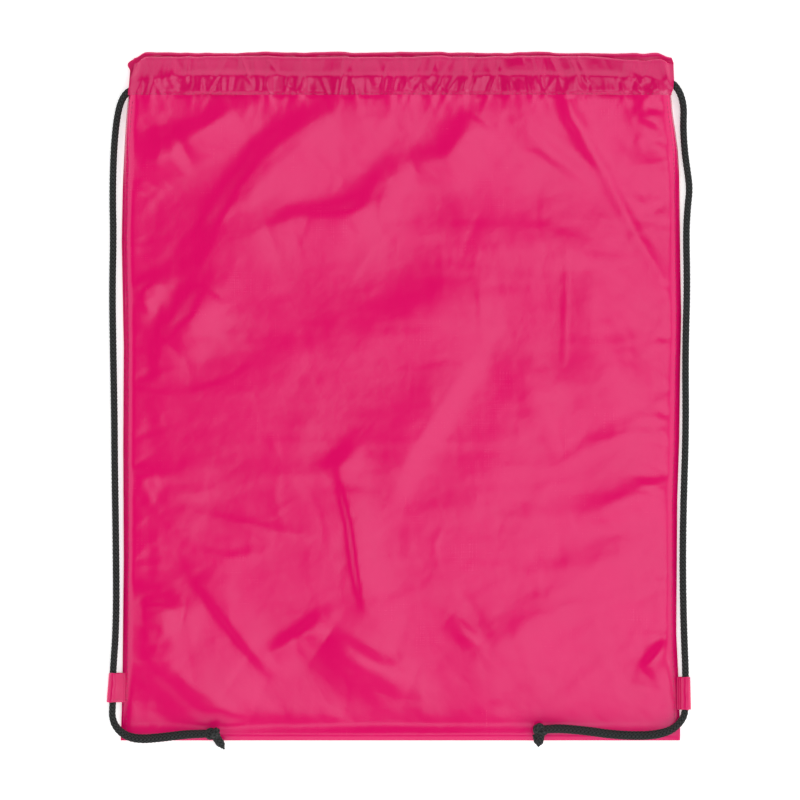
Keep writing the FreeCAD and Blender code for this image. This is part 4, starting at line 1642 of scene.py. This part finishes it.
@dataclass
class Studio:
    """Camera straight above, pale floor and soft light."""

    frame_width: float = 487.2 * MM
    height: float = 6.0
    centre: tuple = (0.5 * MM, -2.4 * MM)
    sensor: float = 36.0
    focus_level: float = 8 * MM
    floor_side: float = 8.0
    dome_power: float = 1.40
    dome_fades: tuple = (0.68, 0.87)
    lamps: tuple = (("box", (2.25, -1.35, 9.9), 5.4, 200.0), ("key", (2.2, -1.2, 1.6), 1.0, 8.0))

    def camera(self) -> None:
        """Place the camera."""
        lens = bpy.data.cameras.new("camera")
        lens.sensor_width = self.sensor
        lens.lens = self.sensor * (self.height - self.focus_level) / self.frame_width
        lens.clip_end = 50
        viewer = bpy.data.objects.new("camera", lens)
        viewer.location = (*self.centre, self.height)
        bpy.context.scene.collection.objects.link(viewer)
        bpy.context.scene.camera = viewer

    def floor(self) -> None:
        """Lay the floor."""
        clear_selection()
        bpy.ops.mesh.primitive_plane_add(size=1, location=(0, 0, 0))
        floor = bpy.context.view_layer.objects.active
        bpy.ops.object.mode_set(mode="EDIT")
        bpy.ops.mesh.select_all(action="SELECT")
        bpy.ops.transform.resize(value=(self.floor_side, self.floor_side, 1))
        bpy.ops.transform.translate(value=(0, 0, -0.3 * MM))
        bpy.ops.mesh.subdivide(number_cuts=3)
        bpy.ops.object.mode_set(mode="OBJECT")
        floor.name = "floor"
        dress(floor, Finish.FLOOR)

    def lights(self) -> None:
        """Hang the lights: a dome that is dark overhead, and a broad box to the lower right for gloss."""
        world = bpy.data.worlds.new("dome")
        world.use_nodes = True
        nodes = Nodes(world.node_tree)
        where = nodes.node("ShaderNodeTexCoord", {}, {}, "Generated")
        up = nodes.node("ShaderNodeSeparateXYZ", {}, {0: where}, "Z")
        low, high = self.dome_fades
        power = nodes.node("ShaderNodeMapRange", {"interpolation_type": "SMOOTHSTEP"},
                           {"Value": up, "From Min": low, "From Max": high, "To Min": self.dome_power,
                            "To Max": 0.0})
        background = world.node_tree.nodes["Background"]
        background.inputs[0].default_value = (1, 1, 1, 1)
        world.node_tree.links.new(power.socket, background.inputs[1])
        bpy.context.scene.world = world
        for name, place, size, watts in self.lamps:
            lamp = bpy.data.lights.new(name, "AREA")
            lamp.shape = "SQUARE"
            lamp.size = size
            lamp.energy = watts
            hung = bpy.data.objects.new(name, lamp)
            hung.location = place
            hung.rotation_euler = Vector(place).to_track_quat("Z", "Y").to_euler()
            bpy.context.scene.collection.objects.link(hung)

    def build(self) -> None:
        """Set up all of it."""
        self.camera()
        self.floor()
        self.lights()
        bpy.context.scene.view_settings.view_transform = "Standard"


def main() -> None:
    """Build the bag around its frame."""
    logging.basicConfig(level=logging.INFO, format="%(message)s")
    Studio().build()
    left = SideCords("left", LEFT_STRAP, LEFT_END, (-113.1, -205.5, 6.6), (62, -28, 20),
                     (((1.6, -1.4, -0.5), (6.5, -9.8, -2.9)), ((0.5, -1.8, -2.5), (5.2, -9.3, -5.0))),
                     187.4 * MM)
    right = SideCords("right", RIGHT_STRAP, RIGHT_END, (85.5, -203.4, 6.6), (58, 30, -30),
                      (((1.1, -2.8, -0.5), (-0.8, -10.3, -2.7)), ((-2.1, -2.8, -2.5), (-1.2, -9.7, -4.6))),
                      193.0 * MM)
    made = left.build() + right.build()
    made += [FrontPanel().build(), BackPanel().build()]
    made.append(Casing("front_casing_cloth", "front_casing", SIZE.front_rim_y, True).build())
    made.append(Casing("back_casing_cloth", "back_casing", SIZE.back_rim_y, False).build())
    for side, edge, way, lean in (("left", LEFT_EDGE, 1, 1.4 * MM), ("right", RIGHT_EDGE, -1, 0.4 * MM)):
        made.append(Tab(side, lean).build())
        made.append(StitchRow(f"{side}_side_stitching", f"{side}_side_stitches", [side_row(edge, way)],
                              "bag").build())
        made.append(StitchRow(f"{side}_tab_stitching", f"{side}_tab_stitches", tab_rows(side), "bag",
                              stitch=0.9 * MM, gap=0.4 * MM, thread=0.34 * MM, sink=0.06 * MM).build())
    for place, body in (("front", "lip"), ("back", "bag")):
        made.append(StitchRow(f"{place}_casing_stitching", f"{place}_casing_stitches",
                              [casing_row(place == "front")], body).build())
    for piece in made:
        LOG.info("%s: %d faces", piece.name, len(piece.data.polygons))
    bpy.context.view_layer.update()


if __name__ == "__main__":
    main()
